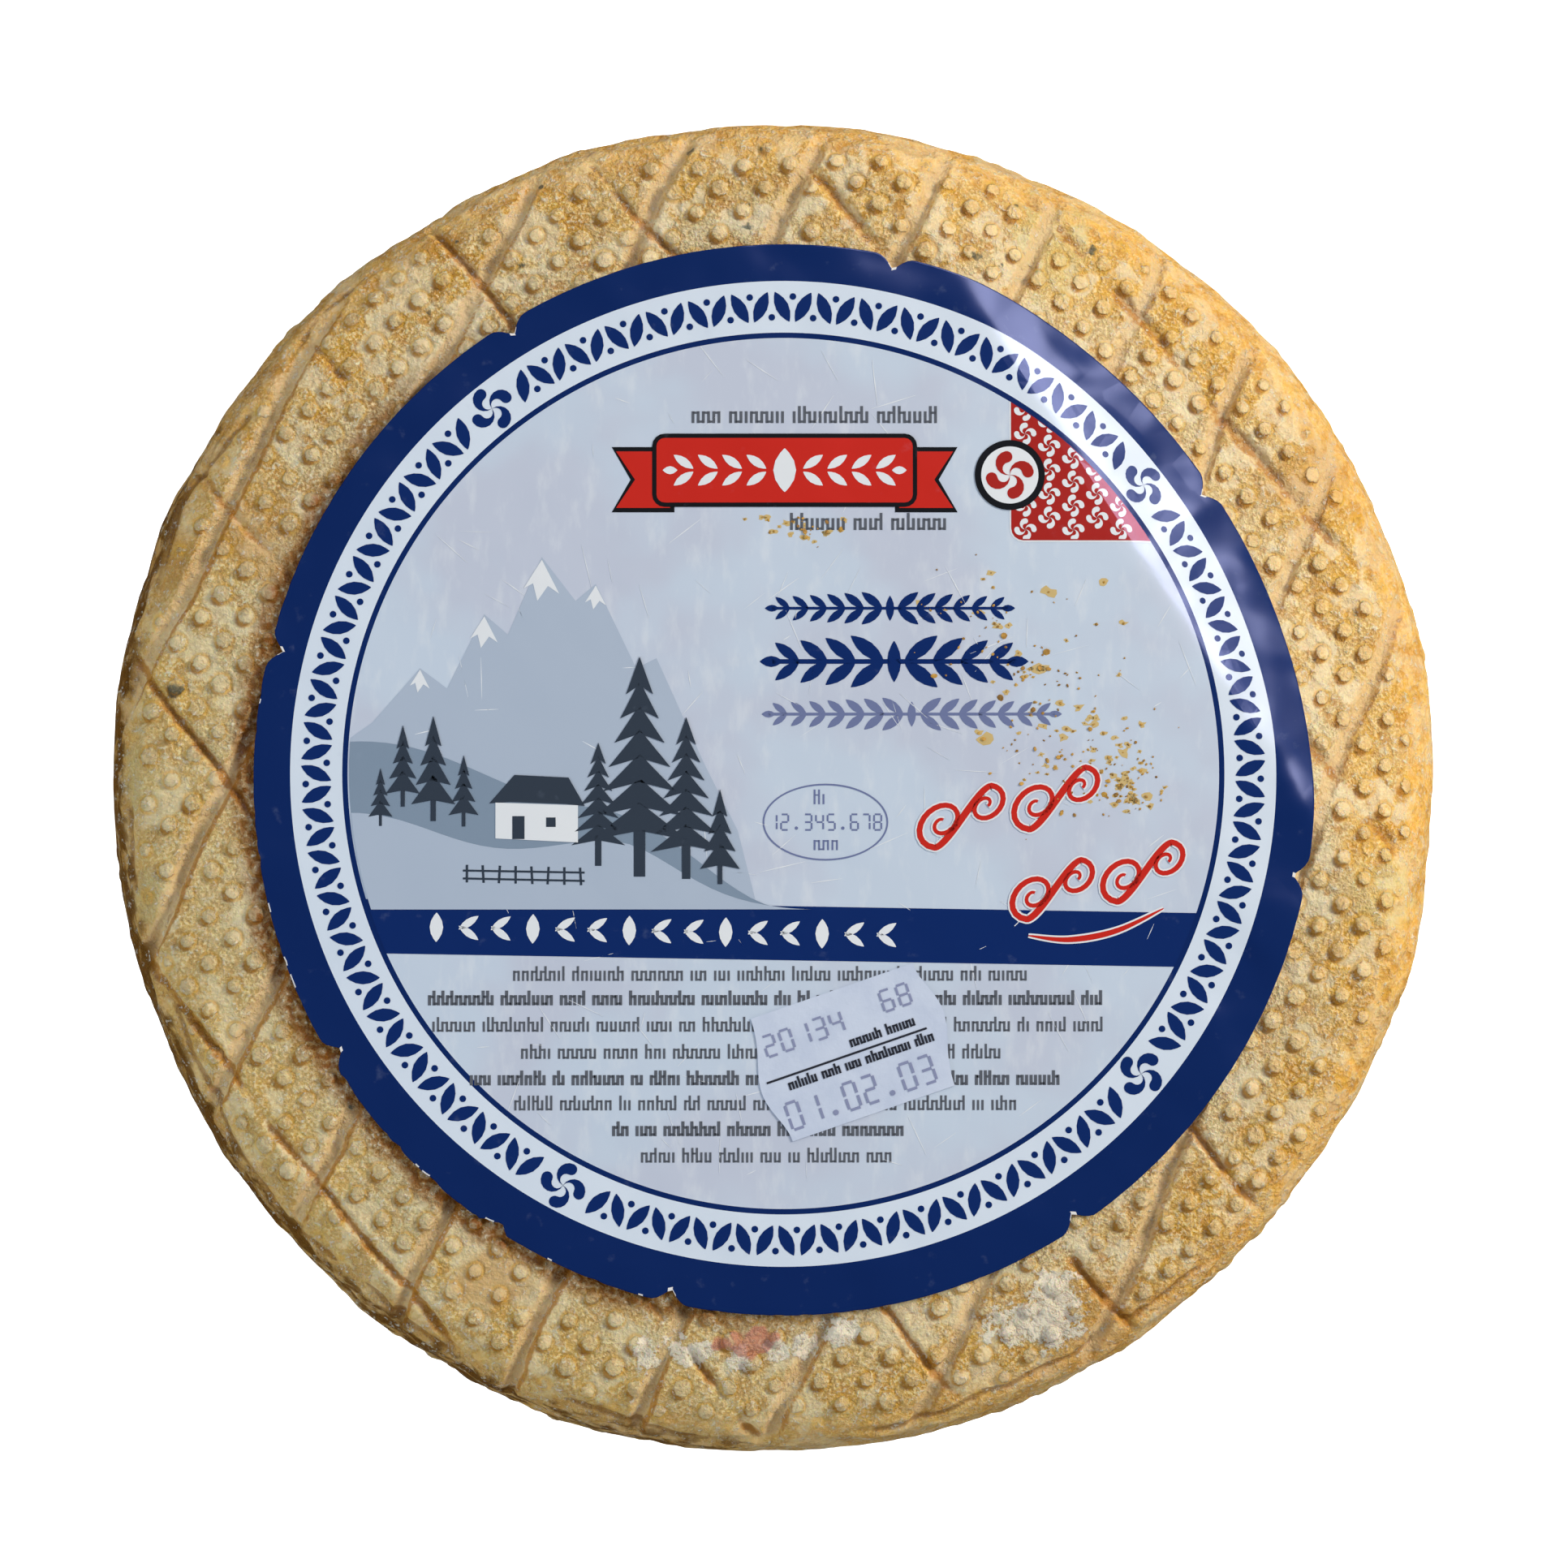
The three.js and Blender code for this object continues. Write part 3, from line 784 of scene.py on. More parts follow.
@dataclass
class Rind:
    """The cheese with its pressed rind, one closed mesh with its relief in its points."""

    form: WheelForm
    finish: RindFinish = field(default_factory=RindFinish)
    # The mesh is finest on the bare ring round the label
    fine_inner: float = 75.0
    fine_step: float = 0.45
    fine_turns: int = 1350
    side_turns: int = 900
    side_steps: int = 76
    base_turns: int = 270
    hidden_turns: int = 135
    shoulder_switch: float = 62.0  # angle on the shoulder where the fine mesh ends
    # Grooves
    steep_grooves: int = 10
    flat_grooves: int = 8
    groove_fade: tuple[float, float] = (5.0, 12.0)  # past the flat face, along the shoulder
    # Pimples
    pimple_pitch: float = 4.83
    pimple_anchor: Point = (46.5, 68.2)
    pimple_drift: float = 0.9
    pimple_jitter: float = 0.22
    pimple_seed: int = 17
    pimple_radius: float = 1.28
    pimple_rise: float = 0.84
    pimple_fade: tuple[float, float] = (92.5, 97.0)
    pimple_ramp: float = 1.8  # reach of the mark that the finish reads, in radii
    pimple_reach: float = 2.8  # half the square round a pimple's middle that it can touch
    side_pimple_rise: float = 0.36
    # Layers of soft noise, each with its height, its size and its seed; the wrinkles run round the rim
    crumb: tuple[tuple[float, float, float], ...] = ((0.085, 1.7, 1.1), (0.12, 3.6, 2.2))
    dents: tuple[tuple[float, float, float], ...] = ((0.24, 13.0, 3.3), (0.17, 6.0, 5.5))
    wrinkles: tuple[tuple[float, float, float, float], ...] = ((0.3, 11.0, 2.2, 6.4), (0.22, 5.0, 1.4, 8.2))
    seam_middle: float = 7.6  # past the flat face
    trim: float = 0.135  # what the side is drawn in, so that its relief stays inside the wheel's box
    label_radius: float = 79.1
    label_centre: Point = (0.9, 0.6)

    def grooves(self) -> list[Groove]:
        """Lists the grooves of both families, each fanned a little from the one before."""
        steep = [
            Groove(63 + 0.42 * k, -91.5 + 18.6 * k, 1.32, 0.38, 1.15, "bed", 0.6)
            for k in range(self.steep_grooves)
        ]
        flat = [
            Groove(131.1 - 0.35 * k, 87.2 - 23.6 * k - 0.24 * k * k, 0.95, 0.2, 0.85, "crack", 1.1)
            for k in range(self.flat_grooves)
        ]
        return steep + flat

    def sections(self) -> list[tuple[int, list[Point]]]:
        """The wheel's section as bands of radius and height, each with how finely it is spun."""
        form = self.form
        top, low = form.height - form.shoulder, form.shoulder

        def arc(start: float, end: float, steps: int, centre: float) -> list[Point]:
            """Points on the shoulder's arc, between two angles in degrees from straight up."""
            turns = [math.radians(start + (end - start) * i / steps) for i in range(steps + 1)]
            return [
                (form.flat_radius + form.shoulder * math.sin(t), centre + form.shoulder * math.cos(t))
                for t in turns
            ]

        flat_steps = round((form.flat_radius - self.fine_inner) / self.fine_step)
        fine = [
            (self.fine_inner + (form.flat_radius - self.fine_inner) * i / flat_steps, form.height)
            for i in range(flat_steps)
        ]
        arc_steps = round(math.radians(self.shoulder_switch) * form.shoulder / self.fine_step)
        fine += arc(0, self.shoulder_switch, arc_steps, top)
        side = arc(self.shoulder_switch + 6, 90, 4, top)
        for i in range(1, self.side_steps):
            z = top + (low - top) * i / self.side_steps
            swell = 1 - ((z - form.height / 2) / (top - form.height / 2)) ** 2
            side.append((form.radius - form.side_bulge * (1 - swell), z))
        base = arc(90, 180, 7, low)
        base += [(radius, 0.0) for radius in (86.0, 82.0, 78.0)]
        middle = (72.0, 50.0, 25.0, 0.0)
        return [
            (self.hidden_turns, [(radius, form.height) for radius in reversed(middle)]),
            (self.fine_turns, fine),
            (self.side_turns, side),
            (self.base_turns, base),
            (self.hidden_turns, [(radius, 0.0) for radius in middle]),
        ]

    def pimple_places(self, grooves: Sequence[Groove]) -> list[tuple[float, float, float, float]]:
        """Places the pimples of the top: its middle, its radius and its rise."""
        draw = LaggedDraw(self.pimple_seed)
        vary = random.Random(self.pimple_seed)
        reach = math.ceil(2 * self.form.radius / self.pimple_pitch)
        diagonal = self.pimple_pitch * math.sqrt(0.5)
        wave = FULL_TURN / self.form.radius
        places = []
        for i in range(-reach, reach + 1):
            for j in range(-reach, reach + 1):
                even_x = self.pimple_anchor[0] + (i - j) * diagonal
                even_y = self.pimple_anchor[1] - (i + j) * diagonal
                x, y = (
                    even + self.pimple_drift * math.sin(wave * other) + self.pimple_jitter * (draw() * 2 - 1)
                    for even, other in ((even_x, even_y), (even_y, even_x))
                )
                size, rise = vary.uniform(0.84, 1.1), vary.uniform(0.6, 1.1)
                from_axis = math.hypot(x, y)
                if from_axis > self.pimple_fade[1] + 1 or from_axis < self.fine_inner:
                    continue
                spot = np.array([x]), np.array([y])
                clear = min(abs(g.side_of(*spot)[0]) - g.half_width * 0.8 for g in grooves)
                if clear < 0.35:
                    continue
                pressed = math.dist((x, y), self.label_centre) < self.label_radius + 0.6
                rise *= self.pimple_rise * min(1.0, 0.45 + 0.35 * clear) * (0.5 if pressed else 1.0)
                # They stand a little flatter on the left
                rise *= 0.87 + 0.13 * math.cos(math.atan2(y, x) - math.radians(25))
                places.append((x, y, self.pimple_radius * size, rise))
        return places

    def blemishes(self) -> list[Patch]:
        """Mould, a pink stain and dark spots, where the rind has them."""
        mould = [(-19.8, -84.3, 2.0, 2.9), (-13.4, -83.9, 3.6, 2.0), (-5.6, -84.9, 2.2, 2.8)]
        mould += [(-0.4, -84.1, 1.7, 1.9), (3.6, -83.1, 2.1, 2.0), (8.9, -80.9, 3.0, 2.6)]
        mould += [(36.6, -79.6, 8.2, 4.4), (40.6, -76.2, 4.2, 4.2)]
        spots = [(-47.7, 80.8), (-38.2, 77.0), (-51.9, 70.1), (-35.3, 89.2), (-13.2, 94.7), (-2.8, 94.5)]
        spots += [(-4.1, 86.3), (-4.2, 83.0), (-11.0, 79.9), (29.7, 78.7), (36.0, 87.2), (33.6, 77.7)]
        spots += [(47.7, 80.8), (62.3, 65.6), (-89.3, 13.7), (-63.3, -47.9)]
        sizes = (0.6, 0.75, 0.5, 0.45, 0.7, 0.6, 0.55, 0.9)
        dark = [(x, y, sizes[i % 8], sizes[(i + 3) % 8]) for i, (x, y) in enumerate(spots)]
        dark[14] = (-89.3, 13.7, 1.3, 1.0)
        pink = [(-3.3, -82.4, 3.4, 2.4), (-8.6, -82.8, 2.2, 1.5)]
        ripe = [(46.0, -79.7, 8.0, 8.0), (80.0, 46.2, 7.0, 7.0), (-78.5, 36.6, 7.0, 7.0)]
        ripe += [(-90.0, 32.8, 5.0, 5.0), (-42.4, -73.4, 6.0, 6.0)]
        wan = [(41.3, 81.0, 6.3, 9.0), (90.1, -15.9, 4.9, 7.0)]
        wan += [(-94.0, -16.7, 4.2, 6.0), (-95.0, 0.0, 3.5, 5.0)]
        kinds = {"mould": mould, "pink": pink, "ripe": ripe, "wan": wan, "spot": dark}
        return [Patch(mark, *place) for mark, places in kinds.items() for place in places]

    def past_flat(self, co: Array) -> Array:
        """How far each point of the level form lies past the flat face, along the skin."""
        form = self.form
        radius = np.hypot(co[:, 0], co[:, 1])
        past = np.maximum(radius - form.flat_radius, 0.0)
        half = form.height / 2 - form.shoulder
        height = np.abs(co[:, 2] - form.height / 2)
        turn = np.where(height < half, math.pi / 2, np.arctan2(past, height - half))
        over = turn * form.shoulder + np.maximum(half - height, 0.0)
        return np.where(past > 0, over, 0.0)

    def press_grooves(self, x: Array, y: Array, run: Array, marks: dict[str, Array]) -> Array:
        """Presses the grooves in.

        Args:
            x: Settled places of the points.
            y: Settled places of the points.
            run: Share of the grooves' depth at each point.
            marks: Gets the grooves' marks.

        Returns:
            The depth at each point.
        """
        cut = np.zeros(len(x))
        marks |= {name: np.zeros(len(x)) for name in ("bed", "wall", "crack")}
        for groove in self.grooves():
            side = groove.side_of(x, y)
            near = np.flatnonzero(np.abs(side) < groove.half_width * groove.reach)
            nx, ny, zero = x[near], y[near], np.zeros(len(near))
            # The cracks open out where the top has slumped
            faint = smooth(0.8 * nx + 0.6 * ny, 25.0, 60.0) * (groove.mark == "crack")
            across = side[near] / (groove.half_width * (1 + 0.45 * faint))
            along = grain(nx, ny, zero, 7.0, groove.offset)
            uneven = np.clip(1 - groove.unevenness * (0.25 + 0.8 * along), 0.1, 1.15)
            across = across + 0.16 * grain(nx, ny, zero, 1.7, groove.offset + 5)
            wall = 1 - smooth(np.abs(across), groove.bed, 1.0)
            lip = 0.09 * np.exp(-((np.abs(across) - 1.35) ** 2) / 0.12)
            depth = (groove.depth * wall - lip) * uneven * run[near]
            cut[near] = np.where(np.abs(depth) > np.abs(cut[near]), depth, cut[near])
            shown = run[near] * np.clip(uneven + 0.25, 0.0, 1.0)
            ramp = np.clip(1 - np.abs(across + 0.15) / 1.7, 0.0, 1.0) * shown
            if groove.mark == "crack":
                ramp = ramp * (1 - 0.2 * faint)
            raise_to(marks[groove.mark], near, ramp)
            if groove.mark == "bed":
                raise_to(marks["wall"], near, np.clip(1 - np.abs(across - 0.9) / 0.6, 0.0, 1.0) * shown)
        return cut

    def raise_pimples(
        self, x: Array, y: Array, radius: Array, index: Array, marks: dict[str, Array]
    ) -> Array:
        """Raises the pimples of the top, each in a shallow moat.

        Args:
            x: Settled places of the points.
            y: Settled places of the points.
            radius: The points' distance from the axis.
            index: Which points are finely meshed.
            marks: Gets the pimples' mark.

        Returns:
            The rise at each point.
        """
        domes, moats, ramps, feet = (np.zeros(len(x)) for _ in range(4))
        fx, fy = x[index], y[index]
        for px, py, size, rise in self.pimple_places(self.grooves()):
            close = (np.abs(fx - px) < self.pimple_reach) & (np.abs(fy - py) < self.pimple_reach)
            nx, ny, at = (fx[close] - px) / size, (fy[close] - py) / size, index[close]
            away = np.hypot(nx, ny)
            fade = 1 - smooth(radius[at], *self.pimple_fade)
            raise_to(domes, at, rise * (1 - smooth(away, 0.7, 1.05)) * (1.0 - 0.1 * away * away) * fade)
            raise_to(moats, at, np.exp(-(((away - 1.3) / 0.22) ** 2)) * fade)
            # The dry top leans to one side, and a painted shadow falls on the other, at the lower left away
            # from the light
            ramp = np.clip(1 - np.hypot(nx - 0.14, ny - 0.17) / self.pimple_ramp, 0.0, 1.0)
            raise_to(ramps, at, ramp * np.clip(fade + rise * 0.4, 0.0, 1.0))
            beside = np.clip(1.5 - np.hypot(nx + 0.34, ny + 0.4), 0.0, 1.0)
            raise_to(feet, at, beside * fade * min(1.0, rise * 1.6))
        marks["pimple"], marks["foot"] = ramps, feet
        return domes - 0.16 * moats

    def side_pimples(self, direction: Array, over: Array, co: Array, marks: dict[str, Array]) -> Array:
        """Raises faint pimples on the side, a whole number of them to a turn."""
        rows = round(FULL_TURN * self.form.radius / (self.pimple_pitch * math.sqrt(2)))
        pitch = FULL_TURN * self.form.radius / rows / math.sqrt(2)
        run_round = direction * self.form.radius
        rows_past = [(run_round + side * co[:, 2]) * math.sqrt(0.5) / pitch for side in (1, -1)]
        away = np.hypot(*((past - np.round(past)) * pitch for past in rows_past)) / self.pimple_radius
        beside = smooth(over, 12, 18) * smooth(co[:, 2], 6, 14)
        patchy = smooth(grain(co[:, 0], co[:, 1], co[:, 2], 17.0, 8.8), -0.25, 0.3)
        ramp = np.clip(1 - away / self.pimple_ramp, 0.0, 1.0) * beside * (0.7 + 0.3 * patchy)
        marks["pimple"] = np.maximum(marks["pimple"], ramp)
        return self.side_pimple_rise * (1 - smooth(away, 0.55, 1.2)) * beside * (0.35 + 0.65 * patchy)

    def relief(self, co: Array) -> tuple[Array, dict[str, Array]]:
        """Works out the relief over the whole wheel.

        Args:
            co: Points of the level form.

        Returns:
            How far each point stands out along its normal, and the marks for the finish.
        """
        form = self.form
        radius = np.hypot(co[:, 0], co[:, 1])
        direction = np.arctan2(co[:, 1], co[:, 0])
        settled = form.settle(co)
        x, y, z = settled[:, 0], settled[:, 1], co[:, 2]
        over = self.past_flat(co)
        upper = z > form.height / 2
        marks: dict[str, Array] = {}
        level = np.zeros(len(co))

        length = 2.5 * grain(x, y, level, 9.0, 4.2)
        run = 1 - smooth(over - length, *self.groove_fade)
        cut = self.press_grooves(x, y, run, marks)
        index = np.flatnonzero(upper & (radius > self.fine_inner - 1) & (over < 15))
        pimples = self.raise_pimples(x, y, radius, index, marks)
        pimples = pimples + self.side_pimples(direction, over, co, marks)

        # Mealy crumb on the faces, dents and drawn-out wrinkles in the wax
        waxy = smooth(over, 1.5, 7.5)
        crumb, dents = (layered(x, y, z, layers) for layers in (self.crumb, self.dents))
        wrinkles = sum(height * rim_grain(direction, over, *drawn) for height, *drawn in self.wrinkles)
        rough = crumb * (1 - 0.3 * waxy) + dents * (0.35 + 0.65 * waxy) + wrinkles * waxy

        # A seam that runs round the shoulder, where the mould's lid met its wall
        wander = 2.2 * rim_grain(direction, level, 24.0, 1.0, 6.1) + 0.5 * grain(x, y, level, 5.0, 7.1)
        seam_at = self.seam_middle + wander
        seam_share = smooth(rim_grain(direction, level, 17.0, 1.0, 9.4), -0.3, 0.2) * upper
        seam_share = seam_share * (1 - 0.7 * facing(direction, 35, 0.1, 0.7))
        seam = np.exp(-(((over - seam_at) / 0.6) ** 2)) * seam_share
        marks["seam"] = np.clip(1 - np.abs(over - seam_at) / 1.3, 0.0, 1.0) * seam_share
        marks["shoulder"] = waxy
        # Painted light: the side that faces the light, where the finish paints lighter, warmer pimple tops
        # and less shade between the grains, and smooths the fine relief
        marks["painted_lit_side"] = facing(direction, 28, -0.2, 0.8)
        marks["outer"] = smooth(radius, 81.0, 90.0)

        # Dark crust and painted shade: a band under the shoulder on the side away from the light, painted
        # shade over real crust, and thin blotches of crust all round
        down = np.where(upper, over, 2 * over.max() - over)
        low_edge = 1 - smooth(down + 5.0 * rim_grain(direction, down, 16.0, 9.0, 3.1), 10.0, 27.0)
        thin = 0.4 * smooth(grain(x, y, z, 14.0, 6.7), -0.2, 0.5)
        turned = np.maximum(0.04 + 0.96 * facing(direction, 206, 0.15, 0.85), smooth(down, 17.0, 30.0))
        marks["crust_and_painted_shade"] = smooth(down, 5.5, 11.5) * turned * (thin + (1 - thin) * low_edge)
        marks["wan"] = 0.5 * facing(direction, 218, 0.1, 0.8) * smooth(radius, 76.0, 84.0)
        # Painted shade: the brown of the groove walls grows on the side away from the light
        marks["wall"] *= 0.6 + 0.4 * facing(direction, 205, -0.2, 0.6)

        # Painted shadow of the label's edge: the rind beside it is painted brown on the left, the side away
        # from the light
        edge = np.hypot(x - self.label_centre[0], y - self.label_centre[1]) - self.label_radius
        band = 1 - smooth(edge + 1.1 * grain(x, y, level, 5.0, 12.0), 0.9, 3.8)
        marks["stain_and_painted_shadow"] = band * facing(direction, 202, 0.0, 0.65) * upper * (radius < form.flat_radius)

        lift = (-cut + pimples + rough - 0.4 * seam) * (1 - smooth(-edge, 0.6, 2.6) * upper)
        for patch in self.blemishes():
            reach = np.hypot((x - patch.x) / patch.half_width, (y - patch.y) / patch.half_height)
            close = (reach < 1.9) & upper
            uneven = reach[close] + 0.5 * grain(x[close], y[close], z[close], 2.2, abs(patch.x))
            share = 1 - smooth(uneven, 0.5, 1.15)
            raise_to(marks.setdefault(patch.mark, np.zeros(len(co))), close, share)
            if patch.mark == "mould":
                lift[close] += share * (0.1 + 0.2 * grain(x[close], y[close], z[close], 1.3, 15.0))
        # The base stays a flat face to stand on, and nothing reaches past the wheel's own box
        foot = (z < 0.01) & (radius <= form.flat_radius)
        lift = np.where(foot, -np.maximum(cut, 0.0), lift)
        lift = np.where((z < form.shoulder) & ~foot, np.minimum(lift, 0.05) - 0.02, lift)
        lift = np.where(upper & (radius < self.fine_inner - 0.5), 0.0, lift)
        outermost = smooth(np.maximum(np.abs(x), np.abs(y)), form.radius - 1.2, form.radius - 0.3)
        lift = lift - np.maximum(lift, 0.0) * outermost - self.trim * smooth(over, 8.0, 14.0)
        return lift, marks

    def build(self) -> None:
        """Builds the rind: the turned form, then its relief, its marks and its settling."""
        made = to_object(turn_bands(self.sections()), "rind", [self.finish.build()])
        mesh = made.data
        flat = np.empty(len(mesh.vertices) * 3)
        mesh.vertices.foreach_get("co", flat)
        co = flat.reshape(-1, 3) / MM
        lift, marks = self.relief(co)
        form = self.form
        half = form.height / 2 - form.shoulder
        radius = np.hypot(co[:, 0], co[:, 1])
        outwards = np.maximum(radius - form.flat_radius, 0.0)
        height = co[:, 2] - form.height / 2
        upwards = np.sign(height) * np.maximum(np.abs(height) - half, 0.0)
        length = np.maximum(np.hypot(outwards, upwards), 1e-6)
        co[:, 2] += lift * upwards / length
        grown = 1 + lift * outwards / length / np.maximum(radius, 1.0)
        co[:, 0] *= grown
        co[:, 1] *= grown
        share = np.clip((co[:, 2] - form.height + form.shoulder) / form.shoulder, 0.0, 1.0)
        co[:, 2] -= form.droop(radius) * share
        co = form.settle(co)
        co[:, 2] = np.maximum(co[:, 2], 0.0)
        mesh.vertices.foreach_set("co", (co * MM).ravel())
        for name, values in marks.items():
            mark = mesh.attributes.new(name, "FLOAT", "POINT")
            mark.data.foreach_set("value", np.clip(values, 0.0, 1.0).astype(np.float32))
        mesh.polygons.foreach_set("use_smooth", [True] * len(mesh.polygons))
        mesh.update()
        deliver(made, "rind", "cheese_wheel")


# --- The label ---


@dataclass
class Label:
    """The round paper label: a navy border, a white ring, a thin navy line and a pale field."""

    lie: PaperLie
    centre: Point = (1.0, 0.76)
    print_centre: Point = (0.82, 1.6)
    radius: float = 79.1
    thickness: float = 0.12
    oval: Point = (0.9935, 1.003)  # the sheet is a little taller than it is wide
    field_radius: float = 64.5
    line_radius: float = 65.3
    border_radius: float = 73.0
    turns: int = 720
    inner_turns: int = 180
    notches: int = 8
    notch_first: float = 32.6
    notch_wobble: float = 1.67
    notch_phase: float = 36.0
    notch_half_width: float = 2.9
    notch_depth: float = 2.1
    bite_direction: float = 236.8
    bite_half_width: float = 2.2
    bite_depth: float = 0.9
    inner_rings: tuple[float, ...] = (0.0, 10.0, 20.0, 30.0, 40.0, 48.0, 54.0)
    field_rings: tuple[float, ...] = (56.0, 58.0, 59.5, 61.0, 62.2, 63.4)
    paper_rings: tuple[float, ...] = (66.6, 67.9, 69.2, 70.5, 71.8)
    edge_rings: tuple[float, ...] = (74.0, 75.0, 75.9, 76.7, 77.4, 78.0, 78.5, 78.9)

    def notch_directions(self) -> list[float]:
        """Directions of the notches, which are not quite evenly spaced."""
        even = [360 / self.notches * k for k in range(self.notches)]
        return [self.notch_first + e + heading(e + self.notch_phase, self.notch_wobble)[0] for e in even]

    def edge_dip(self, direction: float) -> float:
        """How far the cut edge lies inside the full circle, in a direction in degrees."""
        dip = 0.0
        for notch in self.notch_directions():
            across = math.radians(abs(between(notch, direction))) * self.radius / self.notch_half_width
            dip += self.notch_depth * max(0.0, 1 - across) ** 1.7
        across = math.radians(between(self.bite_direction, direction)) * self.radius / self.bite_half_width
        dip += self.bite_depth * max(0.0, 1 - across**4) * (0.8 + 0.2 * math.sin(5 * across))
        ragged = max(0.0, heading(direction - 225)[0]) ** 2
        rough = noise.noise((*heading(direction, 40), 0.0))
        return dip + 0.5 * ragged * max(0.0, rough - 0.1) + 0.04 * rough

    def build(self) -> None:
        """Builds the sheet, with each printed field as faces of its own."""
        outer = [*self.field_rings, self.field_radius, self.line_radius, *self.paper_rings]
        outer += [self.border_radius, *self.edge_rings, self.radius]
        rings = ((self.inner_turns, self.inner_rings), (self.turns, outer))
        bm = turn_bands([(turns, [(r, 0.0) for r in radii]) for turns, radii in rings])
        if next(iter(bm.faces)).normal.z < 0:
            bmesh.ops.reverse_faces(bm, faces=bm.faces)
        for face in bm.faces:
            middle = face.calc_center_median()
            face.material_index = self.print_of(middle.length, math.degrees(math.atan2(middle.y, middle.x)))
        copy = bmesh.ops.duplicate(bm, geom=bm.verts[:] + bm.edges[:] + bm.faces[:])["geom"]
        under = [g for g in copy if isinstance(g, bmesh.types.BMFace)]
        bmesh.ops.reverse_faces(bm, faces=under)
        move(bm, copy, -self.thickness)
        edge = bmesh.ops.bridge_loops(bm, edges=[e for e in bm.edges if e.is_boundary])
        for face in under + edge["faces"]:
            face.material_index = 3
        self.shape(bm)
        papers = [
            CoatedPaper("coated_label_paper_tinted_field", "#c6d6ea", Press.CLOUDED),
            CoatedPaper("coated_label_paper_white", "#d6e4f5", swell=0.35),
            CoatedPaper("coated_label_paper_navy_print", "#062663", swell=0.55),
            CoatedPaper("torn_label_paper", "#e6e6e6", Press.BARE),
        ]
        made = to_object(bm, "label", [paper.build() for paper in papers])
        made.data.polygons.foreach_set("use_smooth", [True] * len(made.data.polygons))
        deliver(made, "label_paper", "paper_label")

    def print_of(self, radius: float, direction: float) -> int:
        """Which printed field a place of the label belongs to, as a material slot."""
        if radius < self.field_radius:
            return 0
        if radius < self.line_radius:
            return 2
        if radius < self.border_radius:
            return 1
        ragged = max(0.0, heading(direction - 215)[0]) ** 2
        worn = 0.9 * ragged * max(0.0, noise.noise((*heading(direction, 60), 3.0)) - 0.27)
        for notch in self.notch_directions():
            away = math.radians(abs(between(notch, direction))) * self.radius
            worn += 0.7 * max(0.0, 1 - away / 0.7)
        return 3 if radius > self.radius - worn else 2

    def shape(self, bm: bmesh.types.BMesh) -> None:
        """Cuts the edge to its outline, centres each ring where it was printed and lays the sheet down."""
        co = points_of(bm)
        radius = np.hypot(co[:, 0], co[:, 1])
        turn = np.arctan2(co[:, 1], co[:, 0])
        border = radius > self.border_radius
        dip = np.array([self.edge_dip(math.degrees(t)) if b else 0.0 for b, t in zip(border, turn)])
        out = np.clip((radius - self.border_radius) / (self.radius - self.border_radius), 0.0, 1.0)
        flat = [
            (1 + (share - 1) * out) * (radius - dip * out) * run + printed * (1 - out) + cut * out
            for share, run, printed, cut in zip(
                self.oval, (np.cos(turn), np.sin(turn)), self.print_centre, self.centre
            )
        ]
        place_points(bm, self.lie.place(np.stack(flat, axis=1), co[:, 2]))


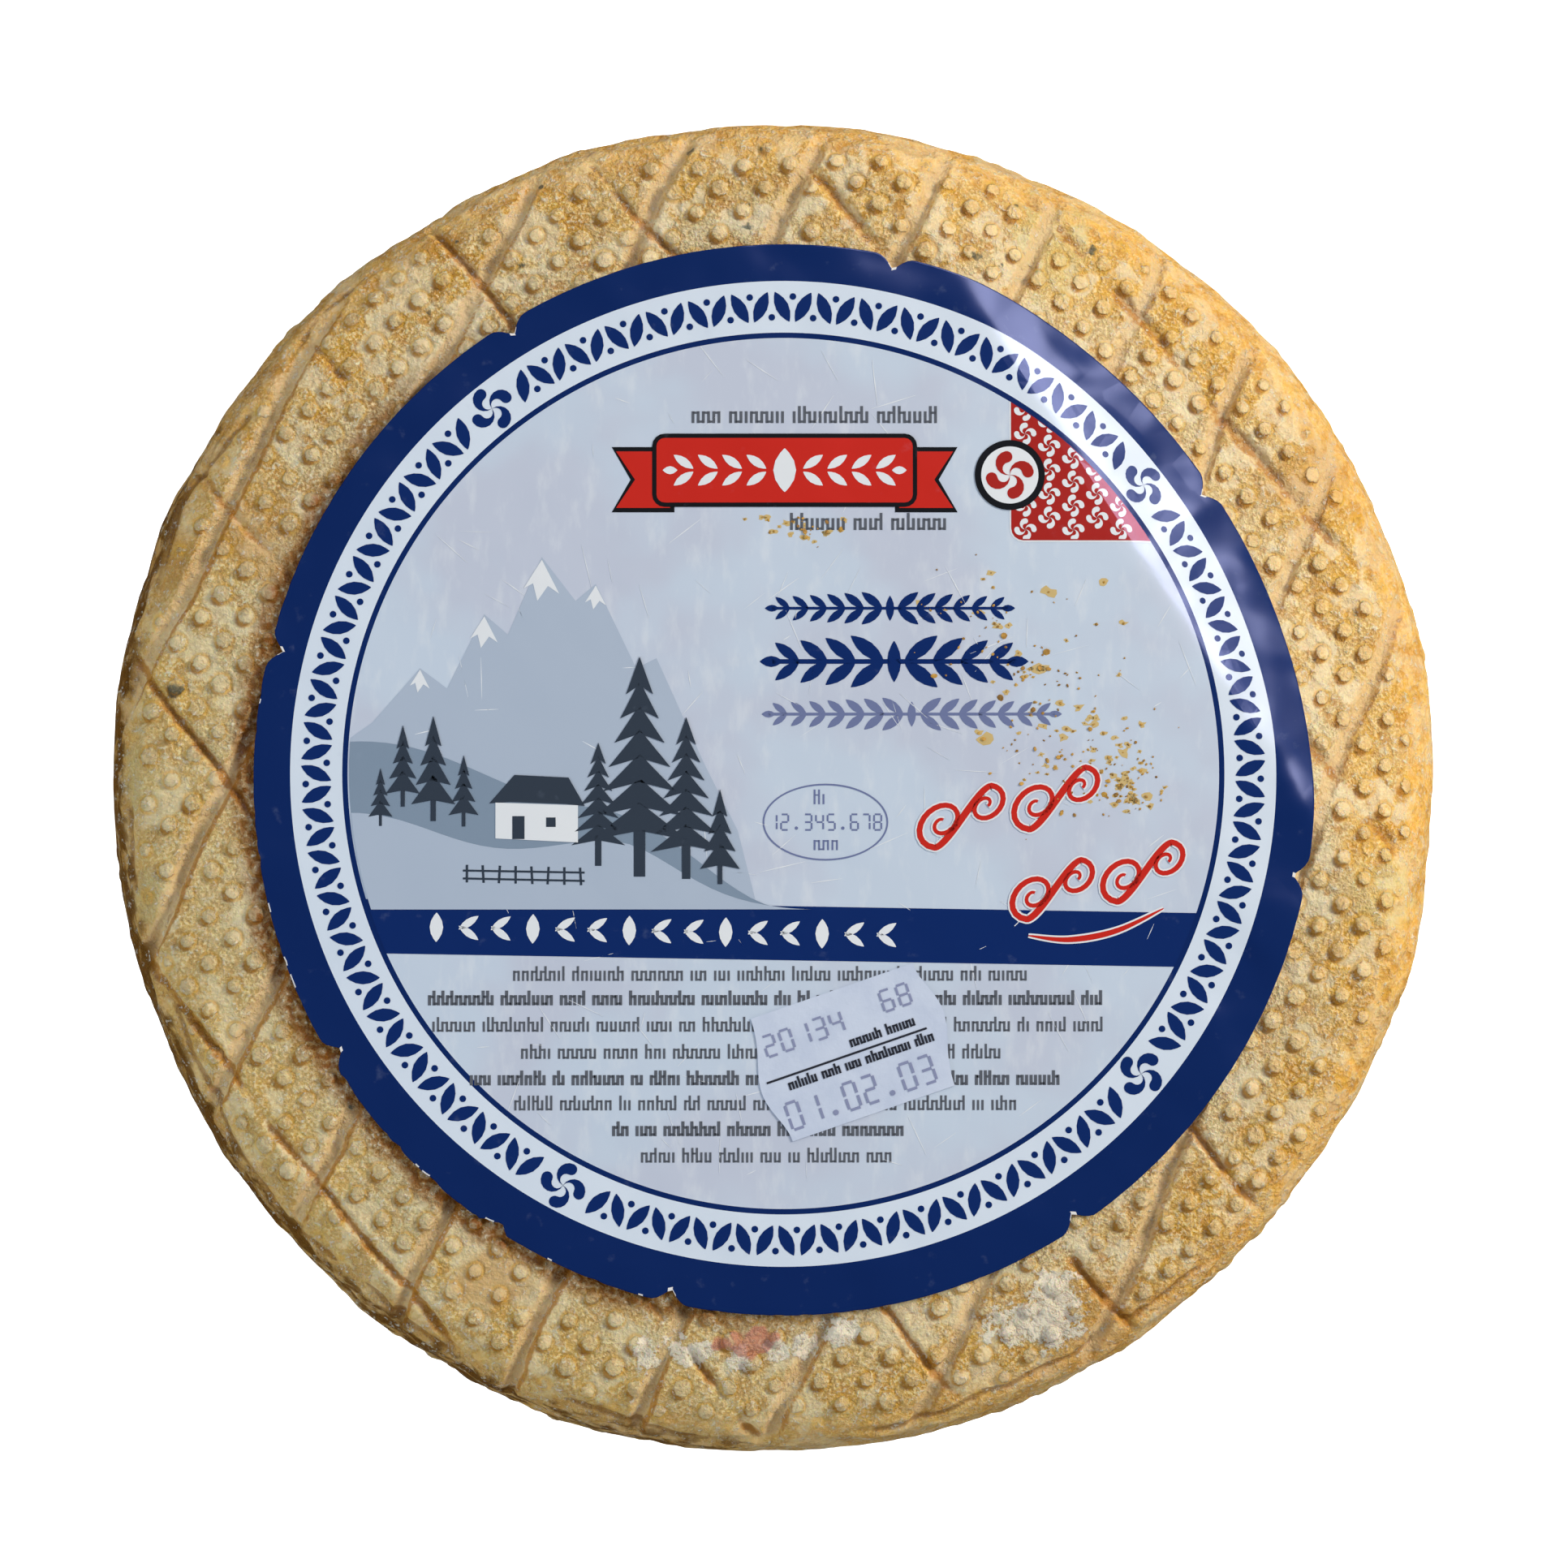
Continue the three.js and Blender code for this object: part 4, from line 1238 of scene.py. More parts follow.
@dataclass
class Ink:
    """Flat printed shapes of one colour: a thin closed film that follows the paper."""

    lie: PaperLie
    paper: CoatedPaper
    level: int = 1  # first film on the paper, or a film on another
    film: float = 0.035
    sunk: float = 0.01  # how far the film's underside lies in what it is printed on
    level_step: float = 0.03
    bm: bmesh.types.BMesh = field(default_factory=bmesh.new)

    def at(self, x: float, y: float, turn: float = 0.0) -> Matrix:
        """A place on the label, with a turn in degrees."""
        return Matrix.Translation((x, y, 0.0)) @ Matrix.Rotation(math.radians(turn), 4, "Z")

    def disc(self, x: float, y: float, width: float, segments: int = 32) -> None:
        """Adds a disc of the given width."""
        place = self.at(x, y) @ Matrix.Diagonal((width / 2, width / 2, 1.0, 1.0))
        bmesh.ops.create_circle(self.bm, cap_ends=True, segments=segments, radius=1.0, matrix=place)

    def hoop(self, x: float, y: float, width: float, height: float, line: float, segments: int = 64) -> None:
        """Adds an oval line, of the given full width and height and line width."""
        edges = []
        for shrink in (0.0, line):
            place = self.at(x, y) @ Matrix.Diagonal((width / 2 - shrink, height / 2 - shrink, 1.0, 1.0))
            ring = bmesh.ops.create_circle(self.bm, segments=segments, radius=1.0, matrix=place)
            edges += list({e for v in ring["verts"] for e in v.link_edges})
        bmesh.ops.bridge_loops(self.bm, edges=edges)

    def bar(self, x: float, y: float, width: float, height: float, turn: float = 0.0) -> None:
        """Adds a straight bar about its middle."""
        place = self.at(x, y, turn) @ Matrix.Diagonal((width / 2, height / 2, 1.0, 1.0))
        bmesh.ops.create_grid(self.bm, x_segments=1, y_segments=1, size=1.0, matrix=place)

    def leaf(self, x: float, y: float, length: float, width: float, turn: float, segments: int = 14) -> None:
        """Adds a pointed leaf: a disc drawn out along its turn and pinched at both tips."""
        ring = bmesh.ops.create_circle(self.bm, cap_ends=True, segments=segments, radius=1.0)
        for vert in ring["verts"]:
            side = math.copysign(1.0, vert.co.y) if abs(vert.co.y) > 1e-6 else 0.0
            vert.co.y = side * (1 - vert.co.x**2) * width / 2
            vert.co.x *= length / 2
        bmesh.ops.transform(self.bm, matrix=self.at(x, y, turn), verts=ring["verts"])

    def outline(self, points: Iterable[Point]) -> None:
        """Adds a shape with the given corners."""
        self.bm.faces.new([self.bm.verts.new((x, y, 0.0)) for x, y in points])

    def panel(self, x: float, y: float, width: float, height: float, corner: float) -> None:
        """Adds a rectangle with rounded corners."""
        points = []
        for quarter, (sx, sy) in enumerate(((1, 1), (-1, 1), (-1, -1), (1, -1))):
            for i in range(5):
                dx, dy = heading(90 * quarter + 22.5 * i, corner)
                points.append((x + sx * (width / 2 - corner) + dx, y + sy * (height / 2 - corner) + dy))
        self.outline(points)

    def small_print(
        self, left: float, right: float, y: float, height: float, line: float, draw: random.Random, at: Matrix
    ) -> None:
        """Adds a line of small print that spells nothing: uprights joined in turn at the head and the foot.

        Args:
            left: Where the line starts.
            right: Where it ends.
            y: The middle of its height.
            height: Height of a short upright.
            line: Width of a stroke.
            draw: Random numbers for the words' lengths.
            at: The line's own place and turn.
        """
        turn = math.degrees(at.to_euler().z)
        step, x = 0.44 * height, left

        def mark(across: float, up: float, width: float, tall: float) -> None:
            """Adds one bar at a place in the line."""
            spot = at @ Vector((across, up, 0.0))
            self.bar(spot.x, spot.y, width, tall, turn)

        while x < right - height:
            uprights = min(draw.randint(3, 15), int((right - x) / step) + 1)
            for k in range(uprights):
                rise = 0.45 * height if draw.random() < 0.18 else 0.0
                mark(x, y + rise / 2, line, height + rise)
                if k < uprights - 1 and draw.random() < 0.72:
                    foot = -1 if k % 2 else 1
                    mark(x + step / 2, y + foot * (height - line) / 2, step, line * 0.8)
                x += step
            x += 0.55 * height

    def whirl(self, x: float, y: float, radius: float, turn: float = 0.0) -> None:
        """Adds a whirl of four comma blades, a traditional ornament, with heads that curl clockwise."""
        # The back of a comma, the round of its head and the hollow by its tail: place, size, start and end
        arcs = ((0.5, 0.5, 180, 0), (0.76, 0.24, 0, -180), (0.27, 0.25, 0, 180))
        steps = 8
        for blade in range(4):
            points = []
            for place, size, start, end in arcs:
                for i in range(steps):
                    dx, dy = heading(start + (end - start) * i / steps, radius * size)
                    points.append(Vector((radius * place + dx, dy, 0.0)))
            at = self.at(x, y, turn + 90 * blade)
            self.outline(tuple((at @ point)[:2]) for point in points)

    def stroke(self, points: Sequence[Point], widths: Callable[[float], float], steps: int = 90) -> None:
        """Adds a pen stroke along a smooth curve through points.

        Args:
            points: Where the pen goes.
            widths: The stroke's width at a share of its length, from 0 to 1.
            steps: Straight pieces in the stroke.
        """
        path = smooth_path(points, steps)
        nibs = [self.nib(path, i, widths(i / steps)) for i in range(steps + 1)]
        for (left, right), (far_left, far_right) in zip(nibs, nibs[1:]):
            self.bm.faces.new((left, right, far_right, far_left))

    def nib(
        self, path: Sequence[Point], i: int, width: float
    ) -> tuple[bmesh.types.BMVert, bmesh.types.BMVert]:
        """Sets down the two ends of the nib at a point of a path."""
        before, after = path[max(i - 1, 0)], path[min(i + 1, len(path) - 1)]
        dx, dy = after[0] - before[0], after[1] - before[1]
        length = max(math.hypot(dx, dy), 1e-6)
        nx, ny = -dy / length * width / 2, dx / length * width / 2
        x, y = path[i]
        return self.bm.verts.new((x + nx, y + ny, 0.0)), self.bm.verts.new((x - nx, y - ny, 0.0))

    def cut_square(self, x_low: float, x_high: float, y_low: float, y_high: float) -> None:
        """Cuts off what lies outside a rectangle."""
        for corner, way in (((x_low, y_low, 0), -1), ((x_high, y_high, 0), 1)):
            self.slice(corner, (way, 0, 0), True)
            self.slice(corner, (0, way, 0), True)

    def cut_round(self, centre: Point, radius: float, sides: int = 144) -> None:
        """Cuts off what lies outside a circle."""
        for k in range(sides):
            out = (*heading(360 * k / sides), 0.0)
            self.slice((centre[0] + radius * out[0], centre[1] + radius * out[1], 0.0), out, True)

    def slice(self, co: Sequence[float], normal: Sequence[float], clear: bool) -> None:
        """Cuts the shapes along a plane, and takes the outer side away if asked."""
        bmesh.ops.bisect_plane(
            self.bm,
            geom=self.bm.verts[:] + self.bm.edges[:] + self.bm.faces[:],
            dist=1e-5,
            plane_co=co,
            plane_no=normal,
            clear_outer=clear,
        )

    def build(self, name: str, slot: str = "label_paper") -> None:
        """Cuts the shapes into strips that can follow the paper, thickens them and lays them down.

        Args:
            name: The piece's name.
            slot: The record's material slot, which is passed on but not used.
        """
        along = Vector((*self.lie.form.slump, 0.0))
        side = Vector((-along.y, along.x, 0.0))
        bend = self.lie.form.slump_start
        steps = [6.0 * k for k in range(-13, 10)] + [bend - 1.0 + 1.2 * k for k in range(20)]
        cuts = [(along, step) for step in steps] + [(side, 4.0 * k) for k in range(-19, 20)]
        for normal, distance in cuts:
            reaches = [vert.co.dot(normal) for vert in self.bm.verts]
            if min(reaches) < distance < max(reaches):
                self.slice(normal * distance, normal, False)
        bmesh.ops.recalc_face_normals(self.bm, faces=self.bm.faces)
        for face in self.bm.faces:
            if face.normal.z > 0:
                face.normal_flip()
        raised = bmesh.ops.extrude_face_region(self.bm, geom=self.bm.faces[:], use_keep_orig=True)["geom"]
        move(self.bm, raised, 1.0)
        bmesh.ops.triangulate(self.bm, faces=self.bm.faces)
        bmesh.ops.recalc_face_normals(self.bm, faces=self.bm.faces)
        co = points_of(self.bm)
        lift = (self.level - 1) * self.level_step + np.where(co[:, 2] > 0.5, self.film, -self.sunk)
        place_points(self.bm, self.lie.place(co[:, :2], lift))
        deliver(to_object(self.bm, name, [self.paper.build()]), slot)


def smooth_path(points: Sequence[Point], steps: int) -> list[Point]:
    """Samples a smooth curve through points.

    Args:
        points: At least two points.
        steps: How many pieces to sample.

    Returns:
        steps + 1 points.
    """
    path = []
    last = len(points) - 1
    for i in range(steps + 1):
        at = min(i / steps * last, last - 1e-6)
        k, t = int(at), at - int(at)
        p = [points[min(max(k + d, 0), last)] for d in (-1, 0, 1, 2)]
        path.append(
            tuple(
                0.5
                * (
                    2 * p[1][axis]
                    + (p[2][axis] - p[0][axis]) * t
                    + (2 * p[0][axis] - 5 * p[1][axis] + 4 * p[2][axis] - p[3][axis]) * t**2
                    + (3 * p[1][axis] - p[0][axis] - 3 * p[2][axis] + p[3][axis]) * t**3
                )
                for axis in (0, 1)
            )
        )
    return path


class Tint(Enum):
    """The printer's inks on the label."""

    NAVY = "#07296a"
    PALE_NAVY = "#6f7ba6"
    RED = "#c9281d"
    DEEP_RED = "#a8241d"
    BLACK = "#16181c"
    WHITE = "#e4ebf3"
    SLATE = "#343f4e"
    GREY = "#8296ad"
    PALE_GREY = "#aebed4"
    TEXT_GREY = "#5d636e"


@dataclass
class LabelPrint:
    """What is printed on the label besides its fields: plain ornaments, and print that spells nothing."""

    lie: PaperLie
    label: Label
    ring_radius: float = 69.15
    whirl_directions: tuple[float, ...] = (128.7, 38.6, -40.2, -118.1)
    whirl_radius: float = 3.5
    leaf_pitch: float = 3.15
    band_heights: tuple[float, float] = (-26.2, -18.2)  # at the middle of the label
    band_turn: float = -1.0
    small_print: tuple[tuple[float, float, float, bool], ...] = (
        (-39.0, 36.7, -28.5, False),
        (-51.5, 48.6, -32.1, True),
        (-50.9, 48.0, -36.0, False),
        (-37.8, 34.7, -40.0, False),
        (-45.3, 41.9, -43.9, True),
        (-38.8, 35.6, -47.6, False),
        (-24.3, 20.8, -51.4, True),
        (-20.1, 16.9, -55.3, False),
    )

    def ink(self, tint: Tint, level: int = 1) -> Ink:
        """Starts a film of one ink."""
        paper = CoatedPaper(f"offset_ink_{tint.name.lower()}", tint.value)
        return Ink(self.lie, paper, level)

    def build(self) -> None:
        """Prints everything."""
        self.print_ring()
        self.print_band()
        self.print_banner()
        self.print_corner()
        self.print_badge()
        self.print_landscape()
        self.print_titles()
        self.print_stamp()
        self.print_flourish()
        self.print_small()
        self.print_scuffs()

    def print_ring(self) -> None:
        """Four whirls in the white ring, with a garland of leaves and dots between them."""
        ink = self.ink(Tint.NAVY)
        cx, cy = self.label.print_centre

        def spot(direction: float, reach: float) -> Point:
            """A place in the ring."""
            dx, dy = heading(direction, reach)
            return cx + dx, cy + dy

        directions = sorted(self.whirl_directions, reverse=True)
        margin = self.whirl_radius + 2.2
        for start, end in zip(directions, [*directions[1:], directions[0] - 360]):
            ink.whirl(*spot(start, self.ring_radius), self.whirl_radius, start)
            room = math.radians(start - end) * self.ring_radius - 2 * margin
            count = round(room / self.leaf_pitch)
            for i in range(count + 1):
                at = start - math.degrees((margin + room * i / count) / self.ring_radius)
                ink.leaf(*spot(at, self.ring_radius), 5.0, 1.95, at + (26 if i % 2 else -26))
                if i < count:
                    gap = at - math.degrees(room / count / 2 / self.ring_radius)
                    ink.disc(*spot(gap, self.ring_radius + (1.55 if i % 2 else -1.55)), 1.0, segments=12)
        ink.build("ring_garland")

    def print_band(self) -> None:
        """The navy band across the field, with a row of white ornaments on it."""
        low, high = self.band_heights
        ink = self.ink(Tint.NAVY)
        ink.bar(0.0, (low + high) / 2, 160.0, high - low, self.band_turn)
        ink.cut_round(self.label.print_centre, self.label.field_radius)
        ink.build("field_band")
        row = self.ink(Tint.WHITE, 2)
        slope = math.tan(math.radians(self.band_turn))
        for i in range(15):
            x = -50.5 + 4.75 * i
            y = (low + high) / 2 + slope * x
            if i % 3 == 0:
                row.leaf(x, y, 4.4, 2.0, 90 + self.band_turn)
            else:
                row.leaf(x, y + 0.75, 3.6, 1.15, 35 + self.band_turn)
                row.leaf(x, y - 0.75, 3.6, 1.15, -35 + self.band_turn)
        row.build("band_ornaments")

    def print_banner(self) -> None:
        """A red ribbon with a black keyline, between two grey rules."""
        cx, cy = 1.0, 46.4
        for tint, level, grow in ((Tint.BLACK, 1, 0.65), (Tint.RED, 2, 0.0)):
            ink = self.ink(tint, level)
            for side in (-1, 1):
                tail = [(17.0, -5.6), (25.0, -5.6), (22.2, -1.4), (25.0, 2.8), (17.0, 2.8)]
                middle = (20.2, -1.4)
                ink.outline(
                    (
                        cx + side * (x + grow * math.copysign(1, x - middle[0])),
                        cy + y + grow * (0 if y == middle[1] else math.copysign(1, y - middle[1])),
                    )
                    for x, y in tail
                )
            ink.build(f"ribbon_tails_{tint.name.lower()}")
        for tint, level, grow in ((Tint.BLACK, 3, 0.65), (Tint.RED, 4, 0.0)):
            ink = self.ink(tint, level)
            ink.panel(cx, cy, 38.0 + 2 * grow, 9.6 + 2 * grow, 1.2 + grow)
            ink.build(f"ribbon_{tint.name.lower()}")
        white = self.ink(Tint.WHITE, 5)
        white.leaf(cx, cy, 6.6, 3.4, 90)
        for side in (-1, 1):
            for k in range(4):
                x = cx + side * (4.2 + 3.6 * k)
                white.leaf(x, cy + 1.25, 3.6, 1.3, side * 35)
                white.leaf(x, cy - 1.25, 3.6, 1.3, -side * 35)
            white.leaf(cx + side * 17.0, cy, 2.2, 1.2, 0)
        white.build("ribbon_sprigs")
        grey, draw = self.ink(Tint.TEXT_GREY), random.Random(3)
        for left, y in ((-12.6, 54.3), (2.0, 38.4)):
            grey.small_print(left, 25.0, y, 1.75, 0.42, draw, Matrix.Identity(4))
        grey.build("ribbon_small_print")

    def print_corner(self) -> None:
        """The red corner patch with rows of small white whirls, inside a fine white line."""
        left, bottom, corner = 34.6, 36.0, 1.8
        centre, reach = self.label.print_centre, self.label.field_radius
        for tint, level, grow in ((Tint.WHITE, 1, 0.25), (Tint.DEEP_RED, 2, 0.0)):
            ink = self.ink(tint, level)
            size = 40.0  # the far corner lies past the field, where it is cut off
            ink.panel(left - grow + size / 2, bottom - grow + size / 2, size, size, corner + grow)
            ink.cut_round(centre, reach)
            ink.build(f"corner_patch_{tint.name.lower()}")
        whirls = self.ink(Tint.WHITE, 3)
        pitch = 3.56
        for column in range(8):
            for row in range(9):
                x = left + 2.1 + pitch * column
                y = bottom + 1.6 + pitch * (row + 0.5 * (column % 2))
                if math.hypot(x - centre[0], y - centre[1]) < reach + 1.0:
                    whirls.whirl(x, y, 1.66, 0)
        whirls.cut_round(centre, reach - 0.1)
        whirls.cut_square(left + 0.2, 90, bottom + 0.2, 90)
        whirls.build("corner_whirls")

    def print_badge(self) -> None:
        """A round badge with a red whirl on the corner of the patch."""
        x, y = 34.4, 45.7
        for name, tint, level, width in (("ring", Tint.BLACK, 4, 10.4), ("disc", Tint.WHITE, 5, 8.5)):
            ink = self.ink(tint, level)
            ink.disc(x, y, width, segments=64)
            ink.build(f"badge_{name}")
        red = self.ink(Tint.DEEP_RED, 6)
        red.whirl(x, y, 3.6, 10)
        red.build("badge_whirl")

    def print_landscape(self) -> None:
        """A grey pasture under hills, with fir trees and a hut, that runs out to the right."""
        floor = self.band_heights[1]

        def ridge(height: float, slope: float, swell: float, pitch: float, end: float) -> list[Point]:
            """Outline of a rolling hill that starts at a height on the left and runs out at its end."""
            points = []
            for x in range(-70, round(end) + 1, 2):
                y = height - slope * (x + 70) + swell * math.sin((x + 70) / pitch)
                out = max(0.0, 1 - (end - x) / 30)
                points.append((x, y + (floor - 0.5 - y) * out * out * (3 - 2 * out)))
            return [*points, (end, floor - 0.5), (-70, floor - 0.5)]

        peaks = [(-70, 2), (-60, 9), (-53, 17), (-49, 14), (-43.5, 25), (-40, 22), (-35, 33.5), (-30, 27)]
        peaks += [(-27, 29.5), (-21, 17), (-18, 18.5), (-11, 3), (-6, -7)]
        peaks += [(-3, floor - 0.5), (-70, floor - 0.5)]
        far, near, meadow = self.ink(Tint.PALE_GREY), self.ink(Tint.GREY, 2), self.ink(Tint.PALE_GREY, 3)
        far.outline(peaks)
        near.outline(ridge(5.5, 0.16, 2.4, 8.5, 2.0))
        meadow.outline(ridge(-5.0, 0.11, 1.5, 6.0, 5.0))
        snow = self.ink(Tint.WHITE, 2)
        for x, y, foot in ((-35, 33.5, 6.5), (-43.5, 25, 5.0), (-53, 17, 3.6), (-27, 29.5, 3.8)):
            fringe = ((0, 0.06), (-0.42, 0.72), (-0.2, 0.6), (-0.1, 1.0), (0.14, 0.66), (0.4, 0.84))
            snow.outline((x + foot * across, y - foot * down) for across, down in fringe)
        dark = self.ink(Tint.SLATE, 4)
        firs = ((-55.5, -3.0, 12.0), (-51.0, -5.0, 15.5), (-46.5, -6.0, 10.5), (-58.8, -6.0, 8.5))
        firs += ((-20.5, -12.5, 34.0), (-13.6, -13.2, 25.0), (-26.6, -11.5, 19.0), (-8.6, -14.4, 14.0))
        for x, y, height in firs:
            tiers = 4 if height < 18 else 7
            dark.bar(x, y + height * 0.06, height * 0.05, height * 0.2)
            for k in range(tiers):
                share = k / tiers
                half, low = height * 0.21 * (1 - share * 0.84), y + height * (0.12 + 0.74 * share)
                tip = low + height * 1.15 / tiers
                dark.outline([(x - half, low), (x, low + height * 0.04), (x + half, low), (x, tip)])
        for k in range(8):
            dark.bar(-46.0 + 2.4 * k, -13.4 - 0.06 * k, 0.35, 2.6, 4 * math.sin(k * 2.1))
        dark.bar(-37.6, -13.1, 18.0, 0.3, -1.0)
        dark.bar(-37.6, -14.3, 18.0, 0.3, -1.2)
        dark.outline([(-42.7, -3.0), (-39.0, 1.2), (-31.0, 0.8), (-28.6, -3.4), (-31.4, -3.1), (-39.6, -2.8)])
        wall, opening = self.ink(Tint.WHITE, 4), self.ink(Tint.SLATE, 5)
        wall.outline([(-41.8, -8.2), (-29.6, -8.8), (-29.6, -3.3), (-41.8, -2.9)])
        opening.bar(-38.4, -6.6, 1.8, 3.4)
        opening.bar(-33.6, -5.8, 1.4, 1.4)
        names = ("peaks", "hill", "snow", "meadow", "trees", "hut", "openings")
        for ink, name in zip((far, near, snow, meadow, dark, wall, opening), names):
            ink.cut_round(self.label.print_centre, self.label.field_radius - 0.25)
            ink.build(f"landscape_{name}")

    def sprig(self, ink: Ink, x: float, y: float, half: float, leaf: float, pairs: int) -> None:
        """Adds a level sprig to both sides of a lozenge, its leaves shrinking outwards."""
        ink.leaf(x, y, leaf * 0.9, leaf * 0.3, 90)
        ink.bar(x, y, 2 * half, leaf * 0.1)
        for side in (-1, 1):
            for k in range(pairs):
                share = (k + 1.0) / (pairs + 0.6)
                size = leaf * (1 - 0.38 * share)
                for up in (-1, 1):
                    ink.leaf(x + side * half * share, y + up * size * 0.3, size, size * 0.34, up * side * 38)
            ink.leaf(x + side * half, y, leaf * 0.5, leaf * 0.24, 0)

    def print_titles(self) -> None:
        """Three ornamental lines in place of a title, the middle one largest."""
        navy = self.ink(Tint.NAVY)
        self.sprig(navy, 16.6, 25.9, 17.5, 4.2, 6)
        self.sprig(navy, 17.2, 18.0, 18.2, 6.9, 4)
        navy.build("title_sprigs")
        pale = self.ink(Tint.PALE_NAVY)
        self.sprig(pale, 19.8, 10.2, 21.2, 4.2, 7)
        pale.build("title_sprig_pale")

    def print_stamp(self) -> None:
        """A fine oval with plain digits between two short words of small print."""
        ink, draw = self.ink(Tint.PALE_NAVY), random.Random(2)
        x, y = 7.0, -5.8
        ink.hoop(x, y, 18.6, 11.4, 0.26)
        row_of_digits(ink, "12.345.678", x, y, 2.3, 1.72, 0.26)
        for up in (3.4, -3.4):
            ink.small_print(x - 1.6, x + 1.8, y + up, 1.5, 0.28, draw, Matrix.Identity(4))
        ink.build("oval_stamp")

    @staticmethod
    def scroll(x: float, y: float, run: float, climb: float, height: float) -> list[Point]:
        """Draws a scroll: a spiral that unwinds into half a wave and winds up again at its top.

        Args:
            x: Where the first spiral's foot stands.
            y: The height of that foot.
            run: Length of the half wave.
            climb: How much it rises besides.
            height: Height of the wave.

        Returns:
            Points along the scroll.
        """
        path = []
        big, small = 0.46 * height, 0.36 * height
        for i in range(36):
            t = i / 35
            dx, dy = heading(-630 + 540 * t, big * (0.12 + 0.88 * t))
            path.append((x + dx, y + big + dy))
        for i in range(1, 60):
            t = i / 60
            path.append((x + run * t, y + climb * t + height * (1 - math.cos(math.pi * t)) / 2))
        for i in range(30):
            t = i / 29
            dx, dy = heading(90 - 470 * t, small * (1 - 0.86 * t))
            path.append((x + run + dx, y + climb + height - small + dy))
        return [(px + 0.3 * (py - y), py) for px, py in path]

    def print_flourish(self) -> None:
        """A pen flourish of two scrolls and a swash, red with a fine white edge."""
        feet = [(23.2, -9.6, 5.6, 8.0), (37.2, -6.9, 5.6, 8.0)]
        feet += [(36.8, -20.2, 5.4, 7.6), (50.2, -17.6, 5.4, 7.6)]
        scrolls = [self.scroll(x, y, run, 1.2, height) for x, y, run, height in feet]
        under = [(37.0, -22.6), (43.0, -23.2), (50.0, -21.9), (57.0, -18.6)]
        for tint, level, grow in ((Tint.WHITE, 3, 0.5), (Tint.RED, 4, 0.0)):
            ink = self.ink(tint, level)
            for path in scrolls:
                ink.stroke(path, lambda t, g=grow: g + 0.42 + 0.62 * math.sin(math.pi * t), 110)
            ink.stroke(under, lambda t, g=grow: g + 0.15 + 0.7 * math.sin(math.pi * t), 40)
            ink.build(f"flourish_{tint.name.lower()}")

    def print_small(self) -> None:
        """The lines of small print, three of them bold."""
        draw = random.Random(5)
        ink = self.ink(Tint.TEXT_GREY)
        for left, right, y, bold in self.small_print:
            ink.small_print(left, right, y, 1.5, 0.46 if bold else 0.34, draw, Matrix.Identity(4))
        ink.build("small_print")

    def print_scuffs(self) -> None:
        """Fine pale scuffs and hair lines scattered over the tinted field."""
        draw = random.Random(11)
        ink = self.ink(Tint.WHITE)
        centre, reach = self.label.print_centre, self.label.field_radius
        for _ in range(150):
            turn, out = draw.uniform(0, FULL_TURN), reach * math.sqrt(draw.random()) * 0.97
            x, y = centre[0] + out * math.cos(turn), centre[1] + out * math.sin(turn)
            ink.leaf(x, y, draw.uniform(1.2, 8.0), draw.uniform(0.07, 0.16), draw.uniform(0, 180), 6)
        ink.cut_round(centre, reach - 0.1)
        ink.build("field_scuffs")


SEGMENTS = {
    "0": "abcdef",
    "1": "bc",
    "2": "abged",
    "3": "abgcd",
    "4": "fgbc",
    "5": "afgcd",
    "6": "afgedc",
    "7": "abc",
    "8": "abcdefg",
    "9": "abcdfg",
}
SEGMENT_PLACES = {
    "a": (0.0, 1.0, 0),
    "b": (0.5, 0.5, 90),
    "c": (0.5, -0.5, 90),
    "d": (0.0, -1.0, 0),
    "e": (-0.5, -0.5, 90),
    "f": (-0.5, 0.5, 90),
    "g": (0.0, 0.0, 0),
}


def row_of_digits(
    ink: Ink, digits: str, x: float, y: float, height: float, pitch: float, line: float, turn: float = 0.0
) -> None:
    """Adds a row of plain digits made of bars, with a point as a dot.

    Args:
        ink: The ink to print with.
        digits: The digits.
        x: Middle of the row.
        y: Middle of the row.
        height: Height of a digit.
        pitch: From one digit to the next.
        line: Width of a bar.
        turn: Turn of the row in degrees.
    """
    cos, sin = heading(turn)

    def spot(across: float, up: float) -> Point:
        """A place in the turned row."""
        return x + across * cos - up * sin, y + across * sin + up * cos

    start = -pitch * (len(digits) - 1) / 2
    for i, digit in enumerate(digits):
        middle = start + pitch * i
        if digit == ".":
            ink.disc(*spot(middle, -height / 2 + line), 2 * line, segments=10)
            continue
        for segment in SEGMENTS[digit]:
            sx, sy, lie = SEGMENT_PLACES[segment]
            wide = min(0.55 * height, 0.62 * pitch)
            place = spot(middle + sx * wide, sy * height / 2)
            length = 0.8 * (wide if lie == 0 else height / 2)
            ink.bar(*place, length, line, turn + lie)


# --- The date sticker and the crumbs ---


